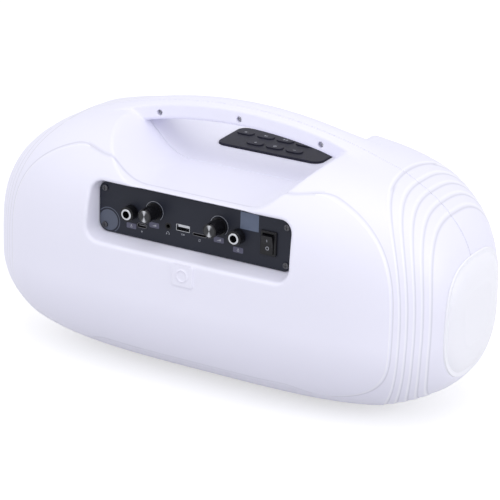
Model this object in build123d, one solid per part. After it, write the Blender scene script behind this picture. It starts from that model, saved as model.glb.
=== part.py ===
"""Portable karaoke speaker: a capsule-shaped two-shell cabinet with a bridge handle.

Millimetres. +Z is up and z = 0 is the floor under the rubber feet. +Y points to the rear,
where the amplifier panel is, and -Y to the speaker grille. Left and right are -X and +X.
"""
from build123d import *
from math import cos, hypot, pi, sin
import os

# ---------------------------------------------------------------- cabinet hull
half_length = 224.0
half_depth = 100.0
lowest_z = 1.5            # underside of the hull above the floor
belly_z = 86.5            # level where the hull is widest
crest_z = 224.5           # top of the hull before the hand scoop is cut
top_length_power = 3.27   # how squarely each outline turns its corners
bottom_length_power = 3.49
plan_length_power = 3.64
upper_depth_power = 2.83
upper_height_power = 3.87
lower_depth_power = 2.43
lower_height_power = 1.95
end_face_x = 217.0        # the hull stops here at each end, under the round end cover
wall = 3.0
seam_y = 8.0              # parting plane between the front and the rear shell
fit_gap = 0.3             # general clearance between two moulded parts
outline_points = 36
level_tolerance = 0.01    # how closely a face has to lie on a plane to count as part of it

# ---------------------------------------------------------------- stepped ends
terrace_count = 5
terrace_drop = 1.1        # each terrace lies this much lower than the last
terrace_reach = 190.0     # half length of the first terrace edge at its widest level
terrace_spacing = 4.8
terrace_rise = 162.0      # half height of the first terrace edge above its widest level
terrace_rise_spacing = 5.5
terrace_fall_share = 0.76 # the lower half of each edge is this much flatter
terrace_z = 96.0
terrace_power = 2.5

# ---------------------------------------------------------------- end covers
cover_inset = 0.6         # gap ring between the cover's edge and the hull's end edge
cover_rim = 1.3           # height of the cover's first step
cover_step = 5.0          # width of the ledge between the first and the second step
cover_dome = 5.2          # height of the dome above the first step
cover_dome_shares = ((0.0, 0.0), (0.42, 4.0), (0.78, 12.0), (1.0, 24.0))

# ---------------------------------------------------------------- raised rear field
field_reach = 185.5
field_z = 96.5
field_rise = 115.5
field_fall = 78.0
field_power = 3.2
field_height = 1.6
field_dip = 3.0           # the field's upper edge stays this far below the scoop
field_root_y = 60.0       # the field's solid starts here, inside the cabinet

# ---------------------------------------------------------------- hand scoop and handle
scoop_floor_z = 183.5
scoop_tilt = 2.5          # degrees, the floor falls to the rear
scoop_floor_half = 48.0
scoop_wall = ((70.0, 7.0), (84.0, 19.5), (96.0, 31.5))  # (x, height above the floor)
scoop_mouth = (112.0, 43.0)
scoop_skin_lean = 0.72    # sideways share of an offset of the sloping walls
cutter_reach = 300.0      # longer than anything that a cutting solid has to pass
handle_top_z = 240.5
handle_end_x = 160.0
handle_end_z = 207.9
handle_half_depth = 14.6
handle_end_half_depth = 43.0
handle_flare_x = 72.0     # the handle starts to widen here
handle_thickness = 17.5
handle_crown = 4.0
handle_edge_radius = 4.0
handle_screw_x = 78.5
handle_screw_drop = 11.2  # screw axis below the handle's crest
handle_screw_recess = 2.6
screw_head_radius = 2.3
screw_head_height = 1.6
screw_shank_radius = 1.25
screw_hole_play = 0.25
handle_screw_length = 14.0
screw_pilot_play = 0.05
hollow_handle_shares = (0.0, 0.25, 0.45, 0.6, 0.78)
boss_radius = 4.6

# ---------------------------------------------------------------- amplifier panel
panel_width = 187.0
panel_height = 44.0
panel_corner = 8.0
panel_thickness = 2.0
panel_z = 154.7
panel_face_y = 84.0
panel_play = 0.5
recess_draft = 14.0       # degrees
recess_ledge = 4.5        # the panel rests on a ledge this wide
panel_screw_x = 88.0
panel_screw_z = 16.5
panel_screw_boss = 5.0
panel_screw_length = 8.0
panel_screw_head_radius = 2.7
panel_screw_head_height = 1.4
board_thickness = 1.6
board_setback = 27.0      # panel face to the front of the amplifier board
board_width = 168.0
board_height = 40.0

# ---------------------------------------------------------------- rear badge boss
badge_z = 115.8
badge_width = 20.5
badge_height = 20.0
badge_proud = 1.0
badge_ring_radius = 5.6
badge_ring_width = 1.2

# ---------------------------------------------------------------- microphone jacks
jack_places = {"right": (61.6, -0.2), "left": (-42.6, -0.2)}
jack_bore_radius = 3.25   # takes a 6.35 mm plug
jack_bush_radius = 6.3
jack_bush_length = 9.0
jack_ring_radius = 4.8
jack_ring_length = 1.2
jack_body = 16.0
jack_back_wall = 2.0

# ---------------------------------------------------------------- volume knobs
knob_places = {"right": (39.0, 4.8), "left": (-24.0, 4.8)}
knob_skirt_radius = 7.6
knob_skirt_height = 1.6
knob_root_radius = 7.0
knob_top_radius = 6.2
knob_height = 16.0
knob_stand_off = 0.4
knob_cap_radius = 5.2
knob_cap_depth = 0.8
knob_pointer_width = 1.0
shaft_radius = 2.5
shaft_play = 0.06
pot_bush_radius = 3.5
pot_body = 12.0
pot_depth = 9.0
pot_turn = 140.0          # degrees each way

# ---------------------------------------------------------------- sockets in a row
usb_place = (10.8, -4.4)
usb_width = 13.2
usb_height = 5.8
usb_shell = 0.4
usb_depth = 14.0
usb_tongue = 1.9
aux_place = (25.4, -5.6)
aux_bore_radius = 1.8     # takes a 3.5 mm plug
aux_bush_radius = 3.0
aux_body = 7.0
charge_place = (51.2, -10.4)
charge_width = 9.0
charge_height = 3.4
charge_depth = 7.5
card_place = (-5.4, -7.2)
card_width = 12.4
card_height = 1.9
card_depth = 15.0
socket_play = 0.15        # gap between a socket and its hole in the panel

# ---------------------------------------------------------------- power switch
switch_place = (-71.5, -0.2)
switch_bezel_width = 15.0
switch_bezel_height = 21.0
switch_bezel_proud = 2.0
switch_body_width = 13.0
switch_body_height = 19.2
switch_body_depth = 14.0
rocker_width = 10.2
rocker_height = 16.0
rocker_depth = 6.0        # pin axis to the two faces, twice over
rocker_throw = 8.0        # degrees each side of level
rocker_pin_radius = 1.2
rocker_pin_play = 0.05

# ---------------------------------------------------------------- control pad
pad_width = 104.0
pad_depth = 47.0
pad_corner = 9.0
pad_thickness = 3.2
pad_sunk = 1.4
pad_y = -59.5
pad_play = 0.15
pad_edge = 0.8            # rounding of the pad's upper edge
pad_window_margin = 2.2   # the pad rests on a ledge this wide
pad_posts = ((-42.0, 9.5), (42.0, 9.5), (-10.0, 0.0), (10.0, 0.0))
pad_post_radius = 2.0
key_rows = {
    "far": (-9.5, (-40.0, -19.5, 0.0, 19.5, 40.0)),
    "near": (9.5, (-19.5, 0.0, 19.5)),
}
key_width = 16.0
key_depth = 9.0
key_corner = 4.4
key_proud = 1.1
key_play = 0.3
key_flange = 1.2
key_flange_thickness = 0.9
key_travel = 0.8
key_stem_radius = 2.0
key_switch_height = 3.0
key_board_drop = 6.4      # pad's underside to the top of the key board
key_board_margin = 9.0

# ---------------------------------------------------------------- speaker front
front_z = 112.0
grille_width = 290.0
grille_height = 116.0
grille_thickness = 1.2
grille_rim = 7.0
grille_seat_y = -84.0
grille_hole_radius = 3.4
grille_pitch = 10.4
grille_play = 0.4
frame_width = 5.0
frame_height = 3.8
front_ledge = 6.0
baffle_thickness = 6.0
baffle_lap = 5.0
woofer_x = 86.0
woofer_radius = 49.0
woofer_flange = 2.4
woofer_cutout_radius = 42.0
woofer_neck_radius = 26.0
woofer_basket_depth = 30.0
woofer_basket_wall = 1.6
woofer_magnet_radius = 34.0
woofer_magnet_depth = 16.0
woofer_windows = 6
woofer_window_width = 13.0
woofer_screw_length = 6.0
surround_seat = 2.2       # the surround's lip rests this far behind the flange's front
surround_lip = 1.6
surround_width = 8.0
surround_height = 1.6
surround_thickness = 0.6
cone_depth = 17.0
cone_thickness = 0.8
coil_radius = 13.0        # inside of the coil former
coil_length = 17.0        # the former reaches this far behind the cone's neck
spider_y_back = 5.0       # spider to the basket's back
spider_fold = 0.7
woofer_spider_reach = 1.2 # the spider's edge lies this far outside the neck
magnet_air = 0.6          # gap each side of the coil
dust_cap_radius = 17.0
dust_cap_height = 5.0
tweeter_radius = 24.0
tweeter_flange = 2.4
tweeter_body_radius = 18.0
tweeter_depth = 16.0
tweeter_dome_radius = 12.5
tweeter_dome_height = 4.2
tweeter_dish_depth = 5.0
tweeter_dish_radius = 20.0
tweeter_seat = 1.0

# ---------------------------------------------------------------- base and battery
base_flat_z = 4.2         # the round underside is flattened at this level
foot_x = 88.0
foot_y = 19.0
foot_radius = 8.0
foot_socket = 1.2
cell_radius = 9.2
cell_length = 65.0
cell_count = 4
cell_gap = 0.6
cell_tip = 1.0
tray_wall = 2.0
tray_height = 10.0
tray_length = 136.0
tray_depth = 42.0
tray_y = -32.0
tray_z = 16.0
tray_rib_x = 45.0
tray_rib = 3.0
base_screw_x = 62.0
base_screw_y = -1.0
base_tab_width = 16.0
base_tab_length = 29.0
base_tab_thickness = 3.0
base_boss_height = 9.0
base_screw_length = 11.0

recess_floor_y = panel_face_y - panel_thickness
board_y = panel_face_y - board_setback
riser = 1.0               # a terrace's side slopes outwards by this much
covered_drop = terrace_count * terrace_drop
all_round = [2 * pi * step / outline_points for step in range(outline_points)]


# ================================================================ outlines
def ray_length(angle, depth_power, height_power):
    """How far a unit superellipse reaches in one direction."""
    low, high = 0.5, 1.5
    for _ in range(40):
        middle = (low + high) / 2
        filled = (middle * abs(cos(angle))) ** depth_power + (middle * abs(sin(angle))) ** height_power
        if filled < 1:
            low = middle
        else:
            high = middle
    return low


upper_rays = [ray_length(angle, upper_depth_power, upper_height_power) for angle in all_round]
lower_rays = [ray_length(angle, lower_depth_power, lower_height_power) for angle in all_round]


def taper(x, power):
    """Share of its full size that the hull keeps at x along its length."""
    return (1 - min(abs(x) / half_length, 0.999) ** power) ** (1 / power)


def hull_point(x, step, drop):
    """Point of the hull at x, in one of the directions all round, with the skin sunk by drop."""
    angle = all_round[step]
    depth = (half_depth - drop) * taper(x, plan_length_power)
    if sin(angle) >= 0:
        length = upper_rays[step]
        height = (crest_z - belly_z - drop) * taper(x, top_length_power)
    else:
        length = lower_rays[step]
        height = (belly_z - lowest_z - drop) * taper(x, bottom_length_power)
    return (x, depth * length * cos(angle), belly_z + height * length * sin(angle))


def terrace_x(number, z):
    """Half length of a terrace edge at level z; a part number lies between two edges."""
    reach = terrace_reach + number * terrace_spacing
    rise = terrace_rise + number * terrace_rise_spacing
    if z < terrace_z:
        rise *= terrace_fall_share
    return reach * (1 - (abs(z - terrace_z) / rise) ** terrace_power) ** (1 / terrace_power)


def terrace_rim(share, number, drop, inset=0.0):
    """Closed wire round the hull where it crosses a terrace edge, or a share of that edge's length."""
    points = []
    for step in range(outline_points):
        x = share * terrace_reach
        for _ in range(25):
            z = hull_point(x, step, drop)[2]
            x = share * (terrace_x(number, z) - inset)
        points.append(hull_point(x, step, drop))
    return Wire([Spline(points, periodic=True)])


def end_rim(x, drop):
    """Closed wire of the hull's end outline, set at x."""
    points = [(x, *hull_point(end_face_x, step, drop)[1:]) for step in range(outline_points)]
    return Wire([Spline(points, periodic=True)])


def hull(inset=0.0):
    """The capsule with its stepped ends; inset gives the hollow inside a skin of that thickness."""
    middle_shares = (0.93, 0.84, 0.70, 0.50, 0.25)
    shares = [-1.0, *(-share for share in middle_shares), 0.0, *reversed(middle_shares), 1.0]
    middle = [terrace_rim(share, 0, inset, inset) for share in shares]
    steps = [middle[-1]]
    for number in range(terrace_count):
        drop = inset + terrace_drop * (number + 1)
        steps.append(terrace_rim(1, number + riser / terrace_spacing, drop, inset))
        if number < terrace_count - 1:
            steps.append(terrace_rim(1, number + 1, drop, inset))
    steps.append(end_rim(end_face_x - inset, inset + covered_drop))
    faces = [*Shell.make_loft(middle).faces()]
    mirrored_steps = [middle[0], *(wire.mirror(Plane.YZ) for wire in steps[1:])]
    for wires in (steps, mirrored_steps):
        for inner, outer in zip(wires, wires[1:]):
            faces.extend(Shell.make_loft([inner, outer], ruled=True).faces())
        faces.append(Face(wires[-1]))
    return Solid(Shell(faces))


def facing_rear(x, y, z):
    """Drawing plane seen from behind the cabinet, centred on a point."""
    return Plane(origin=(x, y, z), x_dir=(-1, 0, 0), z_dir=(0, 1, 0))


def block(sketch, x, z, y_low, y_high):
    """Solid between two upright planes across Y, with the outline of a sketch."""
    return extrude(facing_rear(x, y_low, z) * sketch, amount=y_high - y_low)


def spun(profile, x, z):
    """Solid of revolution about an axis along Y; the profile is a list of (radius, y)."""
    outline = Polyline(*[(radius, y, 0) for radius, y in profile], close=True)
    return Pos(x, 0, z) * revolve(make_face(outline), Axis.Y)


def slab(z_low, z_high):
    """Everything between two levels."""
    return Pos(0, 0, (z_low + z_high) / 2) * Box(2 * cutter_reach, 2 * cutter_reach, z_high - z_low)


def behind(y):
    """Everything behind an upright plane."""
    return Pos(0, y + cutter_reach, 0) * Box(2 * cutter_reach, 2 * cutter_reach, 4 * cutter_reach)


# ================================================================ scoop, handle, field
def tilted_with_scoop(shape):
    return Pos(0, 0, scoop_floor_z) * Rot(-scoop_tilt, 0, 0) * shape


def scoop_outline(grow=0.0):
    """Cross face of the hand scoop, with z = 0 at its floor; grow thickens it to clear a skin."""
    lean = scoop_skin_lean * grow
    base = -grow
    right = [(scoop_floor_half + lean, base)]
    right += [(x + lean, height + base) for x, height in scoop_wall]
    right.append((scoop_mouth[0] + lean, scoop_mouth[1] + base))
    left = [(-x, z) for x, z in reversed(right)]
    wall_right = Spline(right, tangents=[(1, 0), (1, 0.5)])
    wall_left = Spline(left, tangents=[(1, -0.5), (1, 0)])
    top = cutter_reach
    edges = [
        wall_left,
        Line(left[-1], right[0]),
        wall_right,
        Line(right[-1], (right[-1][0], top)),
        Line((right[-1][0], top), (left[0][0], top)),
        Line((left[0][0], top), left[0]),
    ]
    return make_face(edges)


def scoop(grow=0.0):
    """The hand scoop as a cutting solid, open at the top, front and rear."""
    face = Plane(origin=(0, cutter_reach, 0), x_dir=(1, 0, 0), z_dir=(0, -1, 0)) * scoop_outline(grow)
    return tilted_with_scoop(extrude(face, amount=2 * cutter_reach))


def handle_crest(x):
    return handle_top_z - (handle_top_z - handle_end_z) * (x / handle_end_x) ** 2


def handle_half(x):
    """Half depth of the handle, which flares into the shoulders."""
    share = max(abs(x) - handle_flare_x, 0) / (handle_end_x - handle_flare_x)
    return handle_half_depth + (handle_end_half_depth - handle_half_depth) * share**2


def handle_outline(x, inset):
    """Closed cross outline of the handle: flat sides, crowned top and rounded lower edges."""
    half = handle_half(x) - inset
    crest = handle_crest(x) - inset
    edge = crest - handle_crown
    under = handle_crest(x) - handle_thickness + inset
    radius = handle_edge_radius - inset / 2
    knee = radius * (1 - 0.5**0.5)
    edges = [
        Line((x, half, under + radius), (x, half, edge)),
        ThreePointArc((x, half, edge), (x, 0, crest), (x, -half, edge)),
        Line((x, -half, edge), (x, -half, under + radius)),
        ThreePointArc((x, -half, under + radius), (x, knee - half, under + knee), (x, radius - half, under)),
        Line((x, radius - half, under), (x, half - radius, under)),
        ThreePointArc((x, half - radius, under), (x, half - knee, under + knee), (x, half, under + radius)),
    ]
    return Face(Wire(edges))


def handle(inset=0.0, shares=(0.0, 0.25, 0.45, 0.6, 0.72, 0.86, 1.0)):
    """The arched bridge, or the hollow inside it."""
    stations = [-share * handle_end_x for share in reversed(shares)]
    stations += [share * handle_end_x for share in shares[1:]]
    return loft([handle_outline(x, inset) for x in stations])


def field_prism():
    """Upright prism, rooted inside the cabinet, whose outline is the raised field's edge."""
    points = []
    for angle in all_round:
        length = ray_length(angle, field_power, field_power)
        height = field_rise if sin(angle) >= 0 else field_fall
        points.append((field_reach * length * cos(angle), height * length * sin(angle)))
    oval = Face(Wire([Spline(points, periodic=True)]))
    dip_plane = Plane(origin=(0, cutter_reach, 0), x_dir=(1, 0, 0), z_dir=(0, -1, 0))
    dip = tilted_with_scoop(extrude(dip_plane * scoop_outline(field_dip), amount=cutter_reach))
    return block(oval, 0, field_z, field_root_y, cutter_reach) - dip


def rooted(shapes):
    """The faces or edges that reach down to the root plane of the raised field."""
    return [shape for shape in shapes if abs(shape.bounding_box().min.Y - field_root_y) < level_tolerance]


def raised_field(form):
    """Lifts the skin inside the field's outline to the rear, with a step all round it."""
    prism = field_prism()
    outside = form - prism
    inside = form & prism
    walls = rooted(inside.faces())
    pocket = rooted(outside.faces())
    skin = [face for face in outside.faces() if face not in pocket]
    patch = [face for face in inside.faces() if face not in walls]
    rims = [edge for face in walls for edge in face.edges() if edge not in rooted(face.edges())]
    lift = Vector(0, field_height, 0)
    step = [Face.extrude(edge, lift) for edge in rims]
    return Solid(Shell([*skin, *step, *(face.moved(Location(lift)) for face in patch)]))


# ================================================================ shells
def panel_outline(grow=0.0):
    return RectangleRounded(panel_width + 2 * grow, panel_height + 2 * grow, panel_corner + grow)


def panel_screw_places():
    return [(x, z) for x in (-panel_screw_x, panel_screw_x) for z in (-panel_screw_z, panel_screw_z)]


def recess(grow=0.0):
    """Drafted pocket round the amplifier panel; grow gives the skin that lines it."""
    face = facing_rear(0, recess_floor_y - grow, panel_z) * panel_outline(panel_play + grow)
    return extrude(face, amount=cutter_reach / 5, taper=-recess_draft)


def grille_outline(shrink=0.0):
    return SlotOverall(grille_width - 2 * shrink, grille_height - 2 * shrink)


def on_pad(shape):
    """Moves a shape from the control pad's own frame, z = 0 on the scoop floor, to the cabinet."""
    return tilted_with_scoop(Pos(0, pad_y, 0) * shape)


def rounded_plate(width, depth, corner, z_low, z_high):
    return Pos(0, 0, z_low) * extrude(RectangleRounded(width, depth, corner), amount=z_high - z_low)


def handle_screw_places():
    return [(x, handle_crest(x) - handle_screw_drop) for x in (-handle_screw_x, 0.0, handle_screw_x)]


def rear_badge():
    """Small square boss under the panel with a ring on it."""
    y = half_depth + field_height
    plate = block(RectangleRounded(badge_width, badge_height, 3.0), 0, badge_z, y - wall / 2, y + badge_proud)
    ring = Circle(badge_ring_radius) - Circle(badge_ring_radius - badge_ring_width)
    return plate + block(ring, 0, badge_z, y, y + 1.6 * badge_proud)


# ================================================================ shells
def cabinet():
    """The closed outside of the whole cabinet."""
    form = raised_field(hull()) - [scoop(), slab(-cutter_reach, base_flat_z)]
    return form + [handle(), rear_badge()]


def hollow():
    """Everything inside the cabinet's skin."""
    grille_pocket = block(grille_outline(-wall), 0, front_z, -cutter_reach, grille_seat_y + wall)
    base = slab(-cutter_reach, base_flat_z + wall)
    room = hull(wall) - [scoop(wall), recess(wall), grille_pocket, base]
    return room + handle(wall, hollow_handle_shares)


def seam_faces(half):
    flat = half.faces().filter_by(Plane.XZ)
    return [face for face in flat if abs(face.center().Y - seam_y) < level_tolerance]


def hollowed(half, room):
    """One half of the cabinet as a skin round its half of the hollow, open at the seam."""
    rims = seam_faces(half)
    mouths = seam_faces(room)
    skins = [face for face in half.faces() if face not in rims]
    linings = [face for face in room.faces() if face not in mouths]
    annulus = Sketch(children=rims) - mouths
    return Solid(Shell([*skins, *linings, *annulus.faces()]))


def moulded_halves():
    """Rear half and front half of the cabinet's skin."""
    rear_side = behind(seam_y)
    form = cabinet()
    room = hollow()
    return hollowed(form & rear_side, room & rear_side), hollowed(form - rear_side, room - rear_side)


def foot_places():
    return [(x, y) for x in (-foot_x, foot_x) for y in (-foot_y, foot_y)]


def foot_sockets():
    height = base_flat_z + foot_socket
    return [Pos(x, y, height / 2) * Cylinder(foot_radius + fit_gap / 2, height) for x, y in foot_places()]


def end_loop(x, inset):
    """The hull's end outline drawn in by an even inset, set at x."""
    points = []
    for step in range(outline_points):
        _, y, z = hull_point(end_face_x, step, covered_drop)
        reach = hypot(y, z - belly_z)
        share = (reach - inset) / reach
        points.append((x, y * share, belly_z + (z - belly_z) * share))
    return Wire([Spline(points, periodic=True)])


def end_plug(places, ruled=True):
    """Solid along X through end loops given as (x, inset)."""
    loops = [end_loop(x, inset) for x, inset in places]
    return Solid(Shell([Face(loops[0]), *Shell.make_loft(loops, ruled=ruled).faces(), Face(loops[-1])]))


def end_cover():
    """Round cover of the +X end, bonded to the hull's flat end: a rim and a low dome."""
    foot = end_face_x
    top = foot + cover_rim
    rim = end_plug([(foot, cover_inset), (top, cover_inset + cover_rim / 2)])
    dome_places = [(top + cover_dome * rise, cover_step + inset) for rise, inset in cover_dome_shares]
    dome = end_plug([(foot, cover_step), dome_places[0]]) + end_plug(dome_places, ruled=False)
    return rim + dome


def handle_boss(x, z, y_low, y_high):
    """Rib across the handle's hollow that one handle screw runs through."""
    low_z = handle_crest(x) - handle_thickness + wall / 2
    height = z + boss_radius - low_z
    return block(Rectangle(2 * boss_radius, height), x, low_z + height / 2, y_low, y_high)


def panel_seat():
    """Window in the recess floor that leaves a ledge and four corner bosses for the panel."""
    window = RectangleRounded(panel_width - 2 * recess_ledge, panel_height - 2 * recess_ledge, panel_corner / 2)
    for x, z in panel_screw_places():
        window -= Pos(x, z) * Circle(panel_screw_boss + fit_gap)
    return window


def rear_shell(skin):
    head_seat_y = handle_half_depth - handle_screw_recess - screw_head_height
    pilot = Circle(screw_shank_radius + screw_pilot_play)
    bosses = []
    cutters = [
        recess(),
        block(panel_seat(), 0, panel_z, recess_floor_y - 2 * wall, recess_floor_y + wall),
        *foot_sockets(),
    ]
    for x, z in handle_screw_places():
        bosses.append(handle_boss(x, z, seam_y, handle_half_depth - wall / 2))
        cutters += [
            block(Circle(screw_head_radius + screw_hole_play), x, z, head_seat_y, handle_half_depth + wall),
            block(Circle(screw_shank_radius + screw_hole_play), x, z, seam_y - wall, head_seat_y + wall / 2),
        ]
    for x, z in panel_screw_places():
        low_y = recess_floor_y - panel_screw_length - wall
        bosses.append(block(Circle(panel_screw_boss), x, panel_z + z, low_y, recess_floor_y))
        cutters.append(block(pilot, x, panel_z + z, low_y + wall, recess_floor_y + wall))
    tab_z = base_flat_z + wall + fit_gap
    tab_y = base_screw_y - base_tab_width / 2
    root_y = tab_y + base_tab_length
    for x in (-base_screw_x, base_screw_x):
        tab = Box(base_tab_width, base_tab_length, base_tab_thickness)
        root = Box(base_tab_width, root_y - seam_y - fit_gap, wall)
        boss = Cylinder(boss_radius, base_boss_height)
        bosses += [
            Pos(x, tab_y + base_tab_length / 2, tab_z + base_tab_thickness / 2) * tab,
            Pos(x, (root_y + seam_y + fit_gap) / 2, tab_z) * root,
            Pos(x, base_screw_y, tab_z + base_boss_height / 2) * boss,
        ]
        cutters.append(Pos(x, base_screw_y, tab_z) * extrude(pilot, amount=2 * base_boss_height, both=True))
    return skin + bosses - cutters


def front_shell(skin):
    low_y = wall - handle_half_depth
    pilot = Circle(screw_shank_radius + screw_pilot_play)
    inner_width = pad_width - 2 * pad_window_margin
    inner_depth = pad_depth - 2 * pad_window_margin
    additions = []
    cutters = [
        block(grille_outline(), 0, front_z, -cutter_reach, grille_seat_y),
        block(grille_outline(front_ledge), 0, front_z, grille_seat_y - wall, grille_seat_y + 2 * wall),
        on_pad(rounded_plate(pad_width + 2 * pad_play, pad_depth + 2 * pad_play, pad_corner, -pad_sunk, wall)),
        on_pad(rounded_plate(inner_width, inner_depth, pad_corner / 2, -2 * wall, wall)),
        *foot_sockets(),
    ]
    for x, z in handle_screw_places():
        additions.append(handle_boss(x, z, wall / 2 - handle_half_depth, seam_y))
        cutters.append(block(pilot, x, z, low_y, seam_y + wall))
    for x in (-tray_rib_x, tray_rib_x):
        foot_z = base_flat_z + wall / 2
        rib = Box(tray_rib, tray_depth, tray_z - foot_z)
        additions.append(Pos(x, tray_y, (tray_z + foot_z) / 2) * rib & tray_floor())
    for x in (-base_screw_x, base_screw_x):
        hole = Cylinder(screw_shank_radius + screw_hole_play, 4 * wall)
        sink = Cylinder(screw_head_radius + screw_hole_play, 2 * screw_head_height)
        cutters += [Pos(x, base_screw_y, base_flat_z) * tool for tool in (hole, sink)]
    return skin + additions - cutters


def tray_floor():
    """The hull without its outermost skin, which keeps the battery ribs inside the cabinet."""
    return hull(wall / 2)


def screw(length, head_radius=screw_head_radius, head_height=screw_head_height):
    """Pan-head screw along +Z: the head's underside is at z = 0 and the shank goes down."""
    head = Pos(0, 0, head_height / 2) * Cylinder(head_radius, head_height)
    head = fillet(head.faces().sort_by(Axis.Z)[-1].edges(), head_height / 3)
    shank = Pos(0, 0, -length / 2) * Cylinder(screw_shank_radius, length)
    arm = Box(1.5 * head_radius, 0.3 * head_radius, head_height)
    cross = arm + Rot(0, 0, 90) * arm
    return head + shank - Pos(0, 0, head_height) * cross


def rear_facing(shape):
    """Turns a shape drawn along +Z so that it points to the rear."""
    return Rot(-90, 0, 0) * shape


def handle_screws():
    head_seat_y = handle_half_depth - handle_screw_recess - screw_head_height
    return [Pos(x, head_seat_y, z) * rear_facing(screw(handle_screw_length)) for x, z in handle_screw_places()]


def base_screws():
    upturned = Rot(180, 0, 0) * screw(base_screw_length)
    return [Pos(x, base_screw_y, base_flat_z + screw_head_height) * upturned for x in (-base_screw_x, base_screw_x)]


def feet():
    height = base_flat_z + foot_socket
    foot = Pos(0, 0, height / 2) * Cylinder(foot_radius, height)
    foot = fillet(foot.faces().sort_by(Axis.Z)[0].edges(), 0.8)
    return [Pos(x, y, 0) * foot for x, y in foot_places()]


# ================================================================ amplifier panel
def round_holes():
    """Round holes of the panel as (x, height, radius)."""
    holes = [(*place, jack_bush_radius + socket_play) for place in jack_places.values()]
    holes += [(*place, pot_bush_radius + socket_play) for place in knob_places.values()]
    holes.append((*aux_place, aux_bush_radius + socket_play))
    return holes


def square_holes():
    """Four-sided holes of the panel as (x, height, width, tallness)."""
    gap = 2 * socket_play
    return [
        (*usb_place, usb_width + gap, usb_height + gap),
        (*charge_place, charge_width + 2 * usb_shell + gap, charge_height + 2 * usb_shell + gap),
        (*card_place, card_width + 2 * usb_shell + gap, card_height + 2 * usb_shell + gap),
        (*switch_place, switch_body_width + gap, switch_body_height + gap),
    ]


def amp_panel():
    plate = panel_outline()
    for x, z, radius in round_holes():
        plate -= Pos(-x, z) * Circle(radius)
    for x, z, width, tallness in square_holes():
        plate -= Pos(-x, z) * Rectangle(width, tallness)
    for x, z in panel_screw_places():
        plate -= Pos(-x, z) * Circle(screw_shank_radius + screw_hole_play)
    return block(plate, 0, panel_z, recess_floor_y, panel_face_y)


def panel_screws():
    one = rear_facing(screw(panel_screw_length, panel_screw_head_radius, panel_screw_head_height))
    return [Pos(x, panel_face_y, panel_z + z) * one for x, z in panel_screw_places()]


def amp_board():
    board = RectangleRounded(board_width, board_height, 2.0)
    return block(board, 0, panel_z, board_y - board_thickness, board_y)


def mic_jack(place):
    """Threaded bush and socket body with one bore for the plug."""
    x, z = place[0], panel_z + place[1]
    mouth_y = panel_face_y + jack_bush_length - jack_ring_length
    jack = block(Circle(jack_bush_radius), x, z, recess_floor_y - fit_gap, mouth_y)
    jack += block(RectangleRounded(jack_body, jack_body, 1.5), x, z, board_y, recess_floor_y)
    return jack - block(Circle(jack_bore_radius), x, z, board_y + jack_back_wall, mouth_y)


def jack_ring(place):
    x, z = place[0], panel_z + place[1]
    front_y = panel_face_y + jack_bush_length
    ring = block(Circle(jack_ring_radius), x, z, front_y - jack_ring_length, front_y)
    ring = chamfer(ring.faces().sort_by(Axis.Y)[-1].edges(), jack_ring_length / 4)
    return ring - block(Circle(jack_bore_radius), x, z, front_y - 2 * jack_ring_length, front_y)


def volume_pot(place):
    """Rotary control: body, legs on the board, bush through the panel and a plain shaft hole."""
    x, z = place[0], panel_z + place[1]
    body_y = recess_floor_y - pot_depth
    pot = block(RectangleRounded(pot_body, pot_body, 1.0), x, z, body_y, recess_floor_y)
    pot += block(Circle(pot_bush_radius), x, z, recess_floor_y, panel_face_y)
    for offset in (-pot_body / 3, 0.0, pot_body / 3):
        pot += block(Circle(0.8), x + offset, z - pot_body / 3, board_y, body_y)
    return pot - block(Circle(shaft_radius - 0.5 + shaft_play), x, z, body_y + 1.0, panel_face_y)


def knob(place):
    """Volume knob on its shaft, with a socket for the metal cap."""
    x, z = place[0], panel_z + place[1]
    low = panel_face_y + knob_stand_off
    top = low + knob_height
    body = spun(
        [
            (0, low), (knob_skirt_radius, low), (knob_skirt_radius, low + knob_skirt_height),
            (knob_root_radius, low + knob_skirt_height), (knob_top_radius, top - 0.5),
            (knob_top_radius - 0.5, top), (knob_cap_radius, top), (knob_cap_radius, top - knob_cap_depth),
            (0, top - knob_cap_depth),
        ],
        x, z,
    )
    shaft = block(Circle(shaft_radius - 0.5), x, z, recess_floor_y - pot_depth + 1.0 + fit_gap, low)
    groove_length = knob_root_radius - knob_cap_radius
    groove = Box(knob_pointer_width, knob_height / 2, groove_length)
    return body + shaft - Pos(x, top, z + knob_top_radius) * groove


def knob_cap(place):
    x, z = place[0], panel_z + place[1]
    top = panel_face_y + knob_stand_off + knob_height
    cap = block(Circle(knob_cap_radius - 0.05), x, z, top - knob_cap_depth, top + 0.1)
    rim = cap.faces().sort_by(Axis.Y)[-1].edges()
    return chamfer(rim, 0.2)


def metal_socket(place, width, height, depth, corner):
    """Thin metal shell, open to the rear, with its floor on the board side."""
    x, z = place[0], panel_z + place[1]
    low = panel_face_y - depth
    outside = RectangleRounded(width, height, corner + usb_shell)
    inside = RectangleRounded(width - 2 * usb_shell, height - 2 * usb_shell, corner)
    shell = block(outside, x, z, low, panel_face_y)
    shell -= block(inside, x, z, low + usb_shell, panel_face_y + 1)
    return shell + block(outside, x, z, board_y, low)


def usb_port():
    x, z = usb_place[0], panel_z + usb_place[1]
    tongue_width = usb_width - 2 * usb_shell - 1.0
    tongue_z = z + usb_height / 2 - usb_shell - usb_tongue / 2 - 0.5
    shell = metal_socket(usb_place, usb_width, usb_height, usb_depth, 0.3)
    tongue = Rectangle(tongue_width, usb_tongue)
    return shell + block(tongue, x, tongue_z, panel_face_y - usb_depth, panel_face_y - 1.5)


def charge_port():
    x, z = charge_place[0], panel_z + charge_place[1]
    width = charge_width + 2 * usb_shell
    shell = metal_socket(charge_place, width, charge_height + 2 * usb_shell, charge_depth, charge_height / 2 - 0.05)
    tongue = Rectangle(0.7 * charge_width, 0.2 * charge_height)
    return shell + block(tongue, x, z, panel_face_y - charge_depth, panel_face_y - 1.0)


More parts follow.
